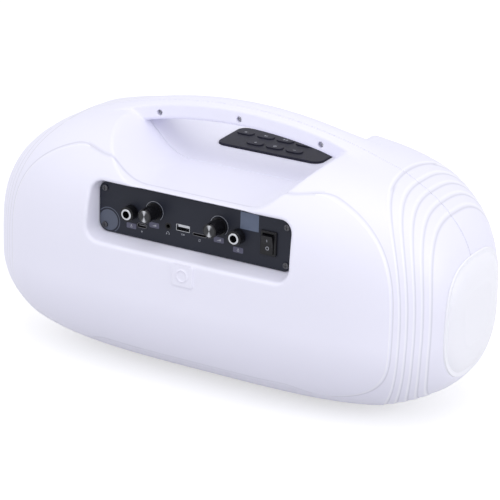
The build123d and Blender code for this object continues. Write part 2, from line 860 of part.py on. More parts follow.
def card_slot():
    width = card_width + 2 * usb_shell
    return metal_socket(card_place, width, card_height + 2 * usb_shell, card_depth, 0.2)


def aux_jack():
    x, z = aux_place[0], panel_z + aux_place[1]
    jack = block(RectangleRounded(aux_body, aux_body, 0.6), x, z, board_y, recess_floor_y)
    jack += block(Circle(aux_bush_radius), x, z, recess_floor_y, panel_face_y)
    return jack - block(Circle(aux_bore_radius), x, z, board_y + jack_back_wall, panel_face_y)


# ================================================================ power switch
rocker_pivot_y = panel_face_y + switch_bezel_proud - rocker_depth / 2
rocker_hole_width = rocker_width + 2 * fit_gap
rocker_hole_height = rocker_height + 4 * fit_gap


def switch_housing():
    """Snap-in housing with a raised bezel and a well for the rocker."""
    x, z = switch_place[0], panel_z + switch_place[1]
    front_y = panel_face_y + switch_bezel_proud
    bezel = block(RectangleRounded(switch_bezel_width, switch_bezel_height, 1.0), x, z, panel_face_y, front_y)
    bezel = chamfer(bezel.faces().sort_by(Axis.Y)[-1].edges(), switch_bezel_proud / 3)
    back_y = recess_floor_y - switch_body_depth
    housing = bezel + block(Rectangle(switch_body_width, switch_body_height), x, z, back_y, panel_face_y)
    for lift in (-switch_body_height / 3, 0.0):
        housing += block(Rectangle(4.8, 0.8), x, z + lift, board_y, back_y)
    well_y = rocker_pivot_y - rocker_depth
    housing -= block(Rectangle(rocker_hole_width, rocker_hole_height), x, z, well_y, front_y + 1)
    socket = Pos(x, rocker_pivot_y, z) * Rot(0, 90, 0) * Cylinder(
        rocker_pin_radius + rocker_pin_play, rocker_hole_width + rocker_depth / 2
    )
    return housing - socket


def rocker():
    """Two-faced rocker on a pin; its zero half is pressed in at rest."""
    half = rocker_height / 2
    lift = half * sin(rocker_throw * pi / 180)
    face = rocker_depth / 2 + switch_bezel_proud / 2
    outline = Polyline(
        (0, face, 0), (0, face + lift, half), (0, -rocker_depth / 3, half - 1.0),
        (0, -rocker_depth / 3, 1.0 - half), (0, face + lift, -half), close=True,
    )
    body = Pos(-rocker_width / 2, 0, 0) * extrude(make_face(outline), amount=rocker_width, dir=(1, 0, 0))
    body += Rot(0, 90, 0) * Cylinder(rocker_pin_radius, rocker_hole_width + rocker_depth / 3)
    seated = Rot(-rocker_throw, 0, 0) * body
    return Pos(switch_place[0], rocker_pivot_y, panel_z + switch_place[1]) * seated


# ================================================================ control pad
def key_places():
    return [(x, y) for y, row in key_rows.values() for x in row]


pad_bottom = -pad_sunk
pad_top = pad_thickness - pad_sunk


def control_pad():
    plate = rounded_plate(pad_width, pad_depth, pad_corner - pad_play, pad_bottom, pad_top)
    plate = fillet(plate.faces().sort_by(Axis.Z)[-1].edges(), pad_edge)
    for x, y in key_places():
        hole = rounded_plate(
            key_width + 2 * key_play, key_depth + 2 * key_play, key_corner + key_play, pad_bottom - 1, pad_top + 1
        )
        plate -= Pos(x, y, 0) * hole
    for x, y in pad_posts:
        post = Cylinder(pad_post_radius, key_board_drop)
        plate += Pos(x, y, pad_bottom - key_board_drop / 2) * post
    return on_pad(plate)


def key(place):
    """One push key with a flange under the pad and a stem over its switch."""
    flange_top = pad_bottom - fit_gap
    cap = rounded_plate(key_width, key_depth, key_corner, flange_top, pad_top + key_proud)
    cap = fillet(cap.faces().sort_by(Axis.Z)[-1].edges(), key_proud / 2)
    flange = rounded_plate(
        key_width + 2 * key_flange, key_depth + 2 * key_flange, key_corner + key_flange,
        flange_top - key_flange_thickness, flange_top,
    )
    stem_top = flange_top - key_flange_thickness
    stem_end = pad_bottom - key_board_drop + key_switch_height + key_travel + fit_gap / 2
    stem = Pos(0, 0, (stem_top + stem_end) / 2) * Cylinder(key_stem_radius, stem_top - stem_end)
    return on_pad(Pos(*place, 0) * (cap + flange + stem))


def key_board():
    """Circuit board under the pad with one press switch below each key."""
    top = pad_bottom - key_board_drop
    width = pad_width - 2 * key_board_margin
    board = rounded_plate(width, pad_depth - 2 * key_board_margin, 1.5, top - board_thickness, top)
    for x, y in key_places():
        board += Pos(x, y, top + key_switch_height / 2) * Box(6.0, 6.0, key_switch_height)
    return on_pad(board)


# ================================================================ speaker front
baffle_front_y = grille_seat_y + wall
baffle_back_y = baffle_front_y + baffle_thickness
woofer_front_y = baffle_front_y - woofer_flange
woofer_back_y = baffle_front_y + woofer_basket_depth
woofer_screw_seat_y = woofer_front_y + screw_head_height
woofer_body_radius = woofer_cutout_radius - fit_gap
surround_outer_radius = woofer_body_radius + surround_lip
cone_rim_y = woofer_front_y + surround_seat
woofer_rim_radius = woofer_body_radius - woofer_basket_wall - surround_width
spider_y = woofer_back_y - spider_y_back
tweeter_front_y = baffle_front_y - tweeter_flange


def baffle():
    plate = block(grille_outline(front_ledge - baffle_lap), 0, front_z, baffle_front_y, baffle_back_y)
    pilot = Circle(screw_shank_radius + screw_pilot_play)
    for x in (-woofer_x, woofer_x):
        plate -= block(Circle(woofer_cutout_radius), x, front_z, baffle_front_y - 1, baffle_back_y + 1)
        for place in woofer_screw_places(x):
            plate -= block(pilot, *place, baffle_front_y - 1, baffle_back_y + 1)
    return plate - block(Circle(tweeter_body_radius + fit_gap), 0, front_z, baffle_front_y - 1, baffle_back_y + 1)


def grille():
    """Perforated steel sheet with a plain edge."""
    outline = grille_outline(grille_play)
    limit_x = grille_width / 2 - grille_height / 2
    limit = grille_height / 2 - grille_rim - grille_hole_radius
    row_pitch = grille_pitch * cos(pi / 6)
    rows = int(limit / row_pitch)
    holes = []
    for row in range(-rows, rows + 1):
        shift = grille_pitch / 2 if row % 2 else 0.0
        columns = int(grille_width / grille_pitch)
        for column in range(-columns, columns + 1):
            x = column * grille_pitch + shift
            z = row * row_pitch
            if hypot(max(abs(x) - limit_x, 0), z) <= limit:
                holes.append(Wire.make_circle(grille_hole_radius, Plane(origin=(x, z, 0))))
    sheet = outline.faces()[0].make_holes(holes)
    return block(sheet, 0, front_z, grille_seat_y - grille_thickness, grille_seat_y)


def grille_frame():
    ring = grille_outline(grille_play) - grille_outline(grille_play + frame_width)
    front_y = grille_seat_y - grille_thickness - frame_height
    frame = block(ring, 0, front_z, front_y, grille_seat_y - grille_thickness)
    return chamfer(frame.faces().sort_by(Axis.Y)[0].edges(), frame_height / 3)


def woofer_screw_places(x):
    radius = (woofer_radius + surround_outer_radius) / 2
    corners = [pi / 4 + quarter * pi / 2 for quarter in range(4)]
    return [(x + radius * cos(angle), front_z + radius * sin(angle)) for angle in corners]


def woofer_basket(x):
    """Steel basket: flange with a seat for the surround, six windows, neck and back plate."""
    inside = woofer_body_radius - woofer_basket_wall
    neck = woofer_neck_radius
    back_y = woofer_back_y - woofer_basket_wall
    basket = spun(
        [
            (surround_outer_radius, woofer_front_y), (woofer_radius, woofer_front_y),
            (woofer_radius, baffle_front_y), (woofer_body_radius, baffle_front_y),
            (woofer_body_radius, baffle_back_y), (neck + woofer_basket_wall, back_y),
            (neck + woofer_basket_wall, woofer_back_y), (coil_radius + 3, woofer_back_y),
            (coil_radius + 3, back_y), (neck, back_y), (inside, baffle_back_y),
            (inside, cone_rim_y), (surround_outer_radius, cone_rim_y),
        ],
        x, front_z,
    )
    upper = block(Rectangle(woofer_window_width, woofer_radius), x, front_z + neck + woofer_radius / 2,
                  baffle_back_y + woofer_basket_wall, spider_y - woofer_basket_wall)
    around = Pos(x, 0, front_z)
    for number in range(woofer_windows):
        turn = Rot(0, number * 360 / woofer_windows, 0)
        basket -= around * turn * Pos(-x, 0, -front_z) * upper
    for place in woofer_screw_places(x):
        basket -= block(Circle(screw_head_radius + fit_gap / 3), *place, woofer_front_y - 1, woofer_screw_seat_y)
        basket -= block(Circle(screw_shank_radius + screw_hole_play), *place, woofer_front_y, baffle_front_y + 1)
    return basket


def woofer_cone(x):
    """Paper cone with its coil former, hung in the basket by the surround and the spider."""
    rim = woofer_rim_radius
    neck_y = cone_rim_y + cone_depth
    outside = coil_radius + cone_thickness
    return spun(
        [
            (rim, cone_rim_y), (rim - surround_lip, cone_rim_y), (coil_radius, neck_y),
            (coil_radius, neck_y + coil_length), (outside, neck_y + coil_length), (outside, neck_y + cone_thickness),
            (rim - surround_lip, cone_rim_y + cone_thickness), (rim, cone_rim_y + cone_thickness),
        ],
        x, front_z,
    )


def woofer_surround(x):
    """Rubber half roll between the basket's seat and the cone's rim."""
    middle = woofer_rim_radius + surround_width / 2
    front_y = cone_rim_y - surround_thickness
    steps = [pi * step / 10 for step in range(11)]
    over = [(middle + surround_width / 2 * cos(t), front_y - surround_height * sin(t)) for t in steps]
    inner_half = surround_width / 2 - surround_thickness
    under = [(middle + inner_half * cos(t), cone_rim_y - surround_height * sin(t)) for t in reversed(steps)]
    outer_lip = surround_outer_radius
    inner_lip = woofer_rim_radius - surround_lip
    profile = [(outer_lip, front_y), *over, (inner_lip, front_y), (inner_lip, cone_rim_y), *under]
    return spun([*profile, (outer_lip, cone_rim_y)], x, front_z)


def woofer_dust_cap(x):
    """Low dome glued over the cone's neck."""
    slope = cone_depth / (woofer_rim_radius - surround_lip - coil_radius)
    rest_y = cone_rim_y + slope * (woofer_rim_radius - surround_lip - dust_cap_radius) - surround_thickness
    shares = [step / 8 for step in range(9)]
    crown = [(dust_cap_radius * share, rest_y - dust_cap_height * (1 - share**2)) for share in shares]
    below = [(radius, y + surround_thickness) for radius, y in reversed(crown)]
    return spun(crown + below, x, front_z)


def woofer_spider(x):
    """Folded cloth disc that centres the coil former."""
    inner = coil_radius + cone_thickness
    outer = woofer_neck_radius + woofer_spider_reach
    folds = [inner + (outer - inner) * step / 8 for step in range(9)]
    front = [(radius, spider_y + spider_fold * (number % 2)) for number, radius in enumerate(folds)]
    back = [(radius, y + surround_thickness) for radius, y in reversed(front)]
    return spun(front + back, x, front_z)


def woofer_magnet(x):
    """Ring magnet between two steel plates, with the pole inside the coil."""
    top = woofer_magnet_radius - woofer_basket_wall
    gap_outer = coil_radius + cone_thickness + magnet_air
    pole = coil_radius - magnet_air
    back_y = woofer_back_y + woofer_magnet_depth
    plate = woofer_magnet_depth / 4
    return spun(
        [
            (0, woofer_back_y), (pole, woofer_back_y), (pole, back_y - plate), (gap_outer, back_y - plate),
            (gap_outer, woofer_back_y), (top, woofer_back_y), (top, woofer_back_y + plate),
            (woofer_magnet_radius, woofer_back_y + plate), (woofer_magnet_radius, back_y - plate),
            (top, back_y - plate), (top, back_y), (0, back_y),
        ],
        x, front_z,
    )


def front_facing(shape):
    """Turns a shape drawn along +Z so that it points to the front."""
    return Rot(90, 0, 0) * shape


def woofer_screws():
    places = woofer_screw_places(-woofer_x) + woofer_screw_places(woofer_x)
    one = front_facing(screw(woofer_screw_length))
    return [Pos(x, woofer_screw_seat_y, z) * one for x, z in places]


def tweeter_frame():
    """Round frame with a dished front and its motor behind."""
    dish_y = tweeter_front_y + tweeter_dish_depth
    dome = tweeter_dome_radius + fit_gap
    return spun(
        [
            (0, dish_y + tweeter_seat), (dome, dish_y + tweeter_seat), (dome, dish_y),
            (tweeter_dish_radius, tweeter_front_y), (tweeter_radius, tweeter_front_y),
            (tweeter_radius, baffle_front_y), (tweeter_body_radius, baffle_front_y),
            (tweeter_body_radius, baffle_front_y + tweeter_depth), (0, baffle_front_y + tweeter_depth),
        ],
        0, front_z,
    )


def tweeter_dome():
    """Soft dome seated in the dish of the tweeter's frame."""
    seat_y = tweeter_front_y + tweeter_dish_depth + tweeter_seat
    shares = [step / 8 for step in range(9)]
    crown = [(tweeter_dome_radius * share, seat_y - tweeter_dome_height * (1 - share**2)) for share in shares]
    crown[-1] = (tweeter_dome_radius, seat_y - surround_thickness)
    return spun([*crown, (tweeter_dome_radius, seat_y), (0, seat_y)], 0, front_z)


# ================================================================ battery
def battery_tray():
    outside = Box(tray_length, tray_depth, tray_height)
    inside = Pos(0, 0, tray_wall) * Box(tray_length - 2 * tray_wall, tray_depth - 2 * tray_wall, tray_height)
    return Pos(0, tray_y, tray_z + tray_height / 2) * (outside - inside)


def battery_cells():
    """Round cells lying in pairs along the tray."""
    can = Rot(0, 90, 0) * Cylinder(cell_radius, cell_length - cell_tip)
    tip = Rot(0, 90, 0) * Cylinder(cell_radius / 3, cell_length)
    cell = can + Pos(cell_tip / 2, 0, 0) * tip - Pos(cell_length / 2, 0, 0) * Box(cell_tip / 8, 1, 1)
    level = tray_z + tray_wall + cell_radius
    along = (cell_length + cell_tip + cell_gap) / 2
    across = cell_radius + cell_gap / 2
    return [Pos(x, tray_y + y, level) * cell for x in (-along, along) for y in (-across, across)]


# ================================================================ all pieces
rear_skin, front_skin = moulded_halves()
right_cover = end_cover()
pieces = {
    "rear_shell": rear_shell(rear_skin),
    "front_shell": front_shell(front_skin),
    "end_cover_right": right_cover,
    "end_cover_left": right_cover.mirror(Plane.YZ),
    "feet": feet(),
    "handle_screws": handle_screws(),
    "base_screws": base_screws(),
    "amp_panel": amp_panel(),
    "panel_screws": panel_screws(),
    "amp_board": amp_board(),
    "usb_port": usb_port(),
    "aux_jack": aux_jack(),
    "charge_port": charge_port(),
    "card_slot": card_slot(),
    "switch_housing": switch_housing(),
    "switch_rocker": rocker(),
    "control_pad": control_pad(),
    "key_board": key_board(),
    "grille": grille(),
    "grille_frame": grille_frame(),
    "baffle": baffle(),
    "woofer_screws": woofer_screws(),
    "tweeter_frame": tweeter_frame(),
    "tweeter_dome": tweeter_dome(),
    "battery_tray": battery_tray(),
    "battery_cells": battery_cells(),
}
for number, place in enumerate(key_places(), start=1):
    pieces[f"key_{number}"] = key(place)
for side, place in jack_places.items():
    pieces[f"mic_jack_{side}"] = mic_jack(place)
    pieces[f"mic_jack_ring_{side}"] = jack_ring(place)
for side, place in knob_places.items():
    pieces[f"knob_{side}"] = knob(place)
    pieces[f"knob_cap_{side}"] = knob_cap(place)
    pieces[f"volume_pot_{side}"] = volume_pot(place)
for side, x in (("left", -woofer_x), ("right", woofer_x)):
    pieces[f"woofer_basket_{side}"] = woofer_basket(x)
    pieces[f"woofer_magnet_{side}"] = woofer_magnet(x)
    pieces[f"woofer_cone_{side}"] = woofer_cone(x)
    pieces[f"woofer_surround_{side}"] = woofer_surround(x)
    pieces[f"woofer_dust_cap_{side}"] = woofer_dust_cap(x)
    pieces[f"woofer_spider_{side}"] = woofer_spider(x)

os.makedirs("parts", exist_ok=True)
for name, shape in pieces.items():
    if isinstance(shape, list):
        shape = Compound(children=shape)
    export_step(shape, f"parts/{name}.step")
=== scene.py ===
"""Portable karaoke speaker: the finished pieces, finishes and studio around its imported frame.

The cabinet's two moulded shells are worked out as one solid field in millimetres and meshed
here; printed marks, spun caps and the perforated grille are made in mesh code. Everything else
is the frame's own node with a procedural finish.
"""
import math
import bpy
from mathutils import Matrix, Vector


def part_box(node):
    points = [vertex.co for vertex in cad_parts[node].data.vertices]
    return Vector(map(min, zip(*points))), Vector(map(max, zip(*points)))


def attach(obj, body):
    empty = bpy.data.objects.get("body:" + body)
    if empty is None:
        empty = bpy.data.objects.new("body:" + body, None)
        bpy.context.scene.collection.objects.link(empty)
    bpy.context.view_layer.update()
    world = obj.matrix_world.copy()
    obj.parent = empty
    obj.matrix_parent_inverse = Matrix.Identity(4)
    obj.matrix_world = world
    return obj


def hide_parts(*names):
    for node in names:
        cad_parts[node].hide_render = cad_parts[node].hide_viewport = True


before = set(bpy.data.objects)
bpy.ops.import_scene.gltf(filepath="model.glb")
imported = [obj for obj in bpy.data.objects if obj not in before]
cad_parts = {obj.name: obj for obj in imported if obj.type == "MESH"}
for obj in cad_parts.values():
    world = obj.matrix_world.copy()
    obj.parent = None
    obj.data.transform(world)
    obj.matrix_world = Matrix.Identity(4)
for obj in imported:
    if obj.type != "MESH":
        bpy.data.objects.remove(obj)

from concurrent.futures import ThreadPoolExecutor

import bpy
import numpy as np
import openvdb
from bpy.props import FloatProperty, FloatVectorProperty, PointerProperty
from mathutils import Matrix, Vector

bl_info = {
    "name": "Portable Karaoke Speaker",
    "version": (1, 0, 0),
    "blender": (4, 5, 0),
    "location": "View3D > Sidebar > Speaker",
    "description": "Builds the pieces, finishes and studio of a portable karaoke speaker",
    "category": "Add Mesh",
}

MM = 0.001
CABINET = "cabinet"

# ---------------------------------------------------------------- cabinet moulding, millimetres
HALF_LENGTH, HALF_DEPTH = 224.0, 100.0
UNDERSIDE_Z, BELLY_Z, CREST_Z = 1.5, 86.5, 224.5
PLAN_POWER, TOP_POWER, BOTTOM_POWER = 3.64, 3.27, 3.49
UPPER_POWERS = (2.83, 3.87)
LOWER_POWERS = (2.43, 1.95)
END_X, SEAM_Y, WALL = 217.0, 8.0, 3.0
BASE_FLAT_Z, BASE_ROUND, END_ROUND = 4.2, 1.0, 0.8
LEAST_SLOPE = 0.004                    # of the hull's level, for each millimetre
TINY, NEARLY_ALL = 1e-3, 0.99          # keep divisions away from zero

TERRACES, TERRACE_DROP, TERRACE_RUN = 5, 1.1, 0.8
TERRACE_REACH, TERRACE_SPACING = 190.0, 4.8
TERRACE_RISE, TERRACE_RISE_SPACING, TERRACE_FALL_SHARE = 162.0, 5.5, 0.76
TERRACE_Z, TERRACE_POWER = 96.0, 2.5

FIELD_REACH, FIELD_Z, FIELD_RISE, FIELD_FALL = 185.5, 96.5, 115.5, 78.0
FIELD_POWER, FIELD_HEIGHT, FIELD_RUN, FIELD_ROOT_Y = 3.2, 1.6, 1.2, 45.0
FIELD_LIP_Y, FIELD_LIP_FALL, FIELD_LIP_X, FIELD_LIP_SPREAD = 79.5, 20.0, 85.0, 60.0
FIELD_LIP_HEIGHT, FIELD_LIP_RUN, FIELD_LIP_ROUND = 1.0, 3.2, 8.0

SCOOP_FLOOR_Z, SCOOP_TILT = 183.5, math.radians(2.5)
SCOOP_WALL = ((48.0, 0.0), (70.0, 7.0), (84.0, 19.5), (96.0, 31.5), (112.0, 43.0))
SCOOP_MOUTH_SLOPE, SCOOP_EDGE, SCOOP_BEYOND = 0.5, 2.2, 120.0

HANDLE_TOP_Z, HANDLE_END_X, HANDLE_END_Z = 240.5, 160.0, 207.9
HANDLE_HALF, HANDLE_END_HALF, HANDLE_FLARE_X = 14.6, 43.0, 72.0
HANDLE_THICKNESS, HANDLE_CROWN, HANDLE_STOP = 17.5, 4.0, 158.0
HANDLE_EDGE, HANDLE_CREST_EDGE, HANDLE_FILLET = 3.2, 1.0, 2.0
HANDLE_SCREWS = ((-78.5, 221.4535), (0.0, 229.3), (78.5, 221.4535))
SCREW_HOLE_RADIUS, SCREW_HOLE_FLOOR_Y, SCREW_HOLE_EDGE = 2.55, 10.4, 0.5

PANEL_Z, RECESS_HALF, RECESS_CORNER = 154.7, (94.0, 22.5), 8.5
RECESS_FLOOR_Y, RECESS_DRAFT, RECESS_LIP = 82.0, math.radians(14.0), 3.0
RECESS_ROUND, RECESS_MOST_SHRUNK = 0.6, -4.0
SEAT_HALF, SEAT_CORNER = (89.0, 17.5), 4.0
SEAT_CUT = (76.0, 83.0)                # lowest and highest y

BADGE_Z, BADGE_HALF, BADGE_CORNER, BADGE_FACE_Y = 115.8, (10.25, 10.0), 3.0, 102.6
RING_RADIUS, RING_HALF_WIDTH, RING_FACE_Y, BADGE_ROOT_Y = 5.0, 0.6, 103.2, 98.0
BADGE_FILLET, RING_FILLET = 0.7, 0.4

FRONT_Z, FRONT_STRAIGHT, FRONT_RADIUS, FRONT_WINDOW = 112.0, 87.0, 58.0, 52.0
FRONT_SEAT_Y, FRONT_EDGE = -84.0, 2.0
FRONT_CUT = (-88.0, -78.0)             # lowest and highest y
PAD_HALF, PAD_CORNER, PAD_Y, PAD_SUNK, PAD_EDGE = (52.15, 23.65), 9.0, -59.5, 1.4, 0.5
PAD_WINDOW, PAD_WINDOW_CORNER = (49.8, 21.3), 4.5
FOOT_PLACES = ((-88.0, -19.0), (-88.0, 19.0), (88.0, -19.0), (88.0, 19.0))
FOOT_SOCKET_RADIUS, FOOT_SOCKET_TOP_Z = 8.15, 5.4

# ---------------------------------------------------------------- painted highlight and painted shade lines on the shells
CREST_HIGHLIGHT_WIDTH, CREST_HIGHLIGHT_SHARE, CREST_PAST = 0.8, 0.32, 0.2
FOOT_SHADE_WIDTH, FOOT_SHADE_SHARE, FOOT_PAST, FOOT_SHADE_TONE = 0.75, 0.40, 0.3, 0.5
FIELD_FOOT_PAST, LIP_SHADE_WIDTH, LIP_OVERLAP = 0.4, 2.6, 2.0

# ---------------------------------------------------------------- other pieces, millimetres
PANEL_CORNER, PANEL_MARGIN = 8.0, 0.5
LABEL_CORNER = 1.0
PATCH_AT, PATCH_SIZE = (-52.7, 168.95), (17.4, 14.9)
ROUNDEL_AT, ROUNDEL_LINE = (84.4, 143.0), 0.7
ROUNDEL_DISC, ROUNDEL_RING = 0.8, 0.96       # shares of the roundel's radius
DIAL_RADIUS, DIAL_LINE, DIAL_START, DIAL_END = 8.6, 0.3, -48, 160
ROCKER_MARKS = (("rocker_bar", 3.6), ("rocker_ring", -3.2))
SOCKET_SYMBOLS = (                     # node, symbol and how far below its middle
    ("charge_port", "bolt", 5.2), ("aux_jack", "headphones", 6.0),
    ("usb_port", "drive", 5.6), ("card_slot", "card", 4.6),
)
PRINT_REACH = 0.3                      # metres, from where a print is lowered onto its piece
PRINT_LIFT = 0.3                       # share of its thickness that a print's middle is raised
CAP_RIM, CAP_EDGE = 0.3, ((0.12, 0.05), (0.0, 0.2))    # insets and drops
STEPS_PER_GROOVE, LEAST_STEPS = 6, 8
HOLE_SIDES, CELL_REACH, SHEET_INSET = 12, 0.6, 0.2
RIM_FOLD = ((0.0, 0.35), (0.1, 0.1), (0.35, 0.0))      # insets and drops

# ---------------------------------------------------------------- studio
LOOK_AT = (0.0, 0.0, 0.1215)
CAMERA_ANGLES = (29.59, 19.98, 1.70)   # azimuth, elevation and roll in degrees
CAMERA_DISTANCE = 2.03285
FOCAL_PIXELS, PICTURE, SENSOR = 2354.8, 500, 36.0
CAMERA_SHIFT = (0.01206, -0.03036)
CAMERA_FAR = 50.0
LAMPS = (("top", (-0.3, 0.6, 2.2), 2.0), ("side", (-2.4, 0.35, 1.0), 1.6),
         ("fill", (0.9, 2.1, 1.35), 2.2))    # name, place and size
FLOOR_GLOW, FLOOR_SPREAD = 0.55, 0.005
BLACK, WHITE = (0.0, 0.0, 0.0, 1.0), (1.0, 1.0, 1.0, 1.0)
SKY_COLOUR = (0.97, 0.975, 1.0, 1.0)

# ---------------------------------------------------------------- meshing
LATTICE_LOW, LATTICE_HIGH = (-220.0, -103.0, -1.0), (220.0, 106.0, 243.0)
COARSENING, NEAR_BLOCKS = 4, 1.9       # lattice steps to a block, and blocks from the surface
BAND = 3                               # lattice steps on each side that keep their distance
SLICES, CHUNKS, BLOCKS_EACH, LEAST_JOBS = 12, 24, 8000, 4
MOST_MOVE, SEAM_HOLD, SEAM_NEAR = 0.6, -0.4, 0.3   # in lattice steps
LEAST_SQUARED_SLOPE = 0.3


# ================================================================ sums for arrays and for sockets
def at_least(value, low):
    return value.at_least(low) if isinstance(value, Wire) else np.maximum(value, low)


def at_most(value, high):
    return value.at_most(high) if isinstance(value, Wire) else np.minimum(value, high)


def join_high(a, b, radius):
    """What both solids share, with the edge between them rounded to the radius."""
    near = at_least(radius - abs(a - b), 0.0) / radius
    return at_least(a, b) + near * near * radius / 4


def eased(share):
    """Smooth step from 0 to 1."""
    share = at_most(at_least(share, 0.0), 1.0)
    return share * share * (3 - 2 * share)


def past_terrace(x, z, number):
    """Distance past the edge of one terrace, measured square to the edge."""
    up = z - TERRACE_Z
    rise = TERRACE_RISE + TERRACE_RISE_SPACING * number
    rise = rise * TERRACE_FALL_SHARE + (up > 0.0) * (rise * (1 - TERRACE_FALL_SHARE))
    height = at_least(abs(up) / rise, TINY)
    used = at_most(height**TERRACE_POWER, NEARLY_ALL)
    edge = (TERRACE_REACH + TERRACE_SPACING * number) * (1 - used) ** (1 / TERRACE_POWER)
    lean = edge * used / ((1 - used) * height * rise)
    return (abs(x) - edge) / (1 + lean**2.0) ** 0.5


def past_oval_and_lip(x, y, z):
    """Distances outside the rear's broad oval and past its end inside the scoop."""
    u, w = at_least(abs(x), TINY), at_least(abs(z - FIELD_Z), TINY)
    height = FIELD_FALL + (z > FIELD_Z) * (FIELD_RISE - FIELD_FALL)
    across, along = (u / FIELD_REACH) ** FIELD_POWER, (w / height) ** FIELD_POWER
    level = (across + along) ** (1 / FIELD_POWER)
    steepness = level ** (1 - FIELD_POWER) * ((across / u) ** 2.0 + (along / w) ** 2.0) ** 0.5
    lip = FIELD_LIP_Y - FIELD_LIP_FALL * eased((u - FIELD_LIP_X) / FIELD_LIP_SPREAD)
    return (level - 1) / at_least(steepness, TINY), lip - y


# ================================================================ solid field
def clamped_spline(points, slope_low, slope_high, count=200):
    """Cubic curve through points with both end slopes given, as a table of x and height."""
    x, y = np.array(points).T
    n = len(x)
    system, right = np.zeros((n, n)), np.zeros(n)
    system[0, 0] = system[-1, -1] = 1
    right[0], right[-1] = slope_low, slope_high
    for i in range(1, n - 1):
        before, after = x[i] - x[i - 1], x[i + 1] - x[i]
        system[i, i - 1 : i + 2] = 1 / before, 2 / before + 2 / after, 1 / after
        right[i] = 3 * ((y[i] - y[i - 1]) / before**2 + (y[i + 1] - y[i]) / after**2)
    slope = np.linalg.solve(system, right)
    at = np.linspace(x[0], x[-1], count)
    k = np.clip(np.searchsorted(x, at, side="right") - 1, 0, n - 2)
    h = x[k + 1] - x[k]
    t = (at - x[k]) / h
    height = (1 + 2 * t) * (1 - t) ** 2 * y[k] + t * (1 - t) ** 2 * h * slope[k]
    height += t * t * (3 - 2 * t) * y[k + 1] + t * t * (t - 1) * h * slope[k + 1]
    return at, height


def scoop_profile():
    """Height of the hand scoop's wall above its floor, for each distance from the middle."""
    x, height = clamped_spline(SCOOP_WALL, 0.0, SCOOP_MOUTH_SLOPE)
    x = np.concatenate([[0.0], x, [x[-1] + SCOOP_BEYOND]])
    return x, np.concatenate([[0.0], height, [height[-1] + SCOOP_BEYOND * SCOOP_MOUTH_SLOPE]])


SCOOP_X, SCOOP_HEIGHT = scoop_profile()


def cut(solid, tool, radius):
    """Solid minus tool, with the edge between them rounded to the radius."""
    return join_high(solid, -tool, radius)


def join(a, b, radius):
    """Both solids together, with the corner between them filled to the radius."""
    return -join_high(-a, -b, radius)


def kept(x, power):
    """Share of its full size that the hull keeps at x along its length."""
    return (1 - np.minimum(np.abs(x) / HALF_LENGTH, 0.999) ** power) ** (1 / power)


def terraces(x, z):
    """How far the stepped ends lie under the hull's first surface."""
    return sum(TERRACE_DROP * eased(past_terrace(x, z, n) / TERRACE_RUN) for n in range(TERRACES))


def hull_level(x, y, z, lift):
    """Level of the capsule's squared-off section: 0 on its surface and negative inside."""
    sunk = terraces(x, z) - lift
    above = z >= BELLY_Z
    depth = (HALF_DEPTH - sunk) * kept(x, PLAN_POWER)
    top = (CREST_Z - BELLY_Z - sunk) * kept(x, TOP_POWER)
    bottom = (BELLY_Z - UNDERSIDE_Z - sunk) * kept(x, BOTTOM_POWER)
    u = np.maximum(np.abs(y) / depth, 1e-4)
    w = np.maximum(np.abs(z - BELLY_Z) / np.where(above, top, bottom), 1e-4)
    upper = u ** UPPER_POWERS[0] + w ** UPPER_POWERS[1]
    lower = u ** LOWER_POWERS[0] + w ** LOWER_POWERS[1]
    return np.log(np.where(above, upper, lower))


def hull(x, y, z, lift, probe=0.4):
    """Distance to the capsule hull, its level divided by how fast the level grows."""
    level = hull_level(x, y, z, lift)
    gx = hull_level(x + probe, y, z, lift) - hull_level(x - probe, y, z, lift)
    gy = hull_level(x, y + probe, z, lift) - hull_level(x, y - probe, z, lift)
    gz = hull_level(x, y, z + probe, lift) - hull_level(x, y, z - probe, lift)
    return level / np.maximum(np.sqrt(gx * gx + gy * gy + gz * gz) / (2 * probe), LEAST_SLOPE)


def rounded_rectangle(u, v, half, corner):
    """Distance outside a rectangle with rounded corners, from its half sizes."""
    a, b = np.abs(u) - half[0] + corner, np.abs(v) - half[1] + corner
    return np.hypot(np.maximum(a, 0), np.maximum(b, 0)) + np.minimum(np.maximum(a, b), 0) - corner


def stadium(x, z, radius):
    """Distance outside the grille's long round-ended outline."""
    return np.hypot(np.maximum(np.abs(x) - FRONT_STRAIGHT, 0), z - FRONT_Z) - radius


def between(value, low, high):
    return np.maximum(low - value, value - high)


def cut_sharp(solid, outline, depth):
    return np.maximum(solid, -np.maximum(outline, depth))


def over_scoop(x, y, z, probe=0.5):
    """Height over the scoop's tilted floor, distance along it, and distance above its wall."""
    height = y * math.sin(SCOOP_TILT) + (z - SCOOP_FLOOR_Z) * math.cos(SCOOP_TILT)
    along = y * math.cos(SCOOP_TILT) - (z - SCOOP_FLOOR_Z) * math.sin(SCOOP_TILT)
    wall = np.interp(np.abs(x), SCOOP_X, SCOOP_HEIGHT)
    slope = np.interp(np.abs(x) + probe, SCOOP_X, SCOOP_HEIGHT)
    slope = slope - np.interp(np.abs(x) - probe, SCOOP_X, SCOOP_HEIGHT)
    return height, along, (height - wall) / np.sqrt(1 + slope**2)


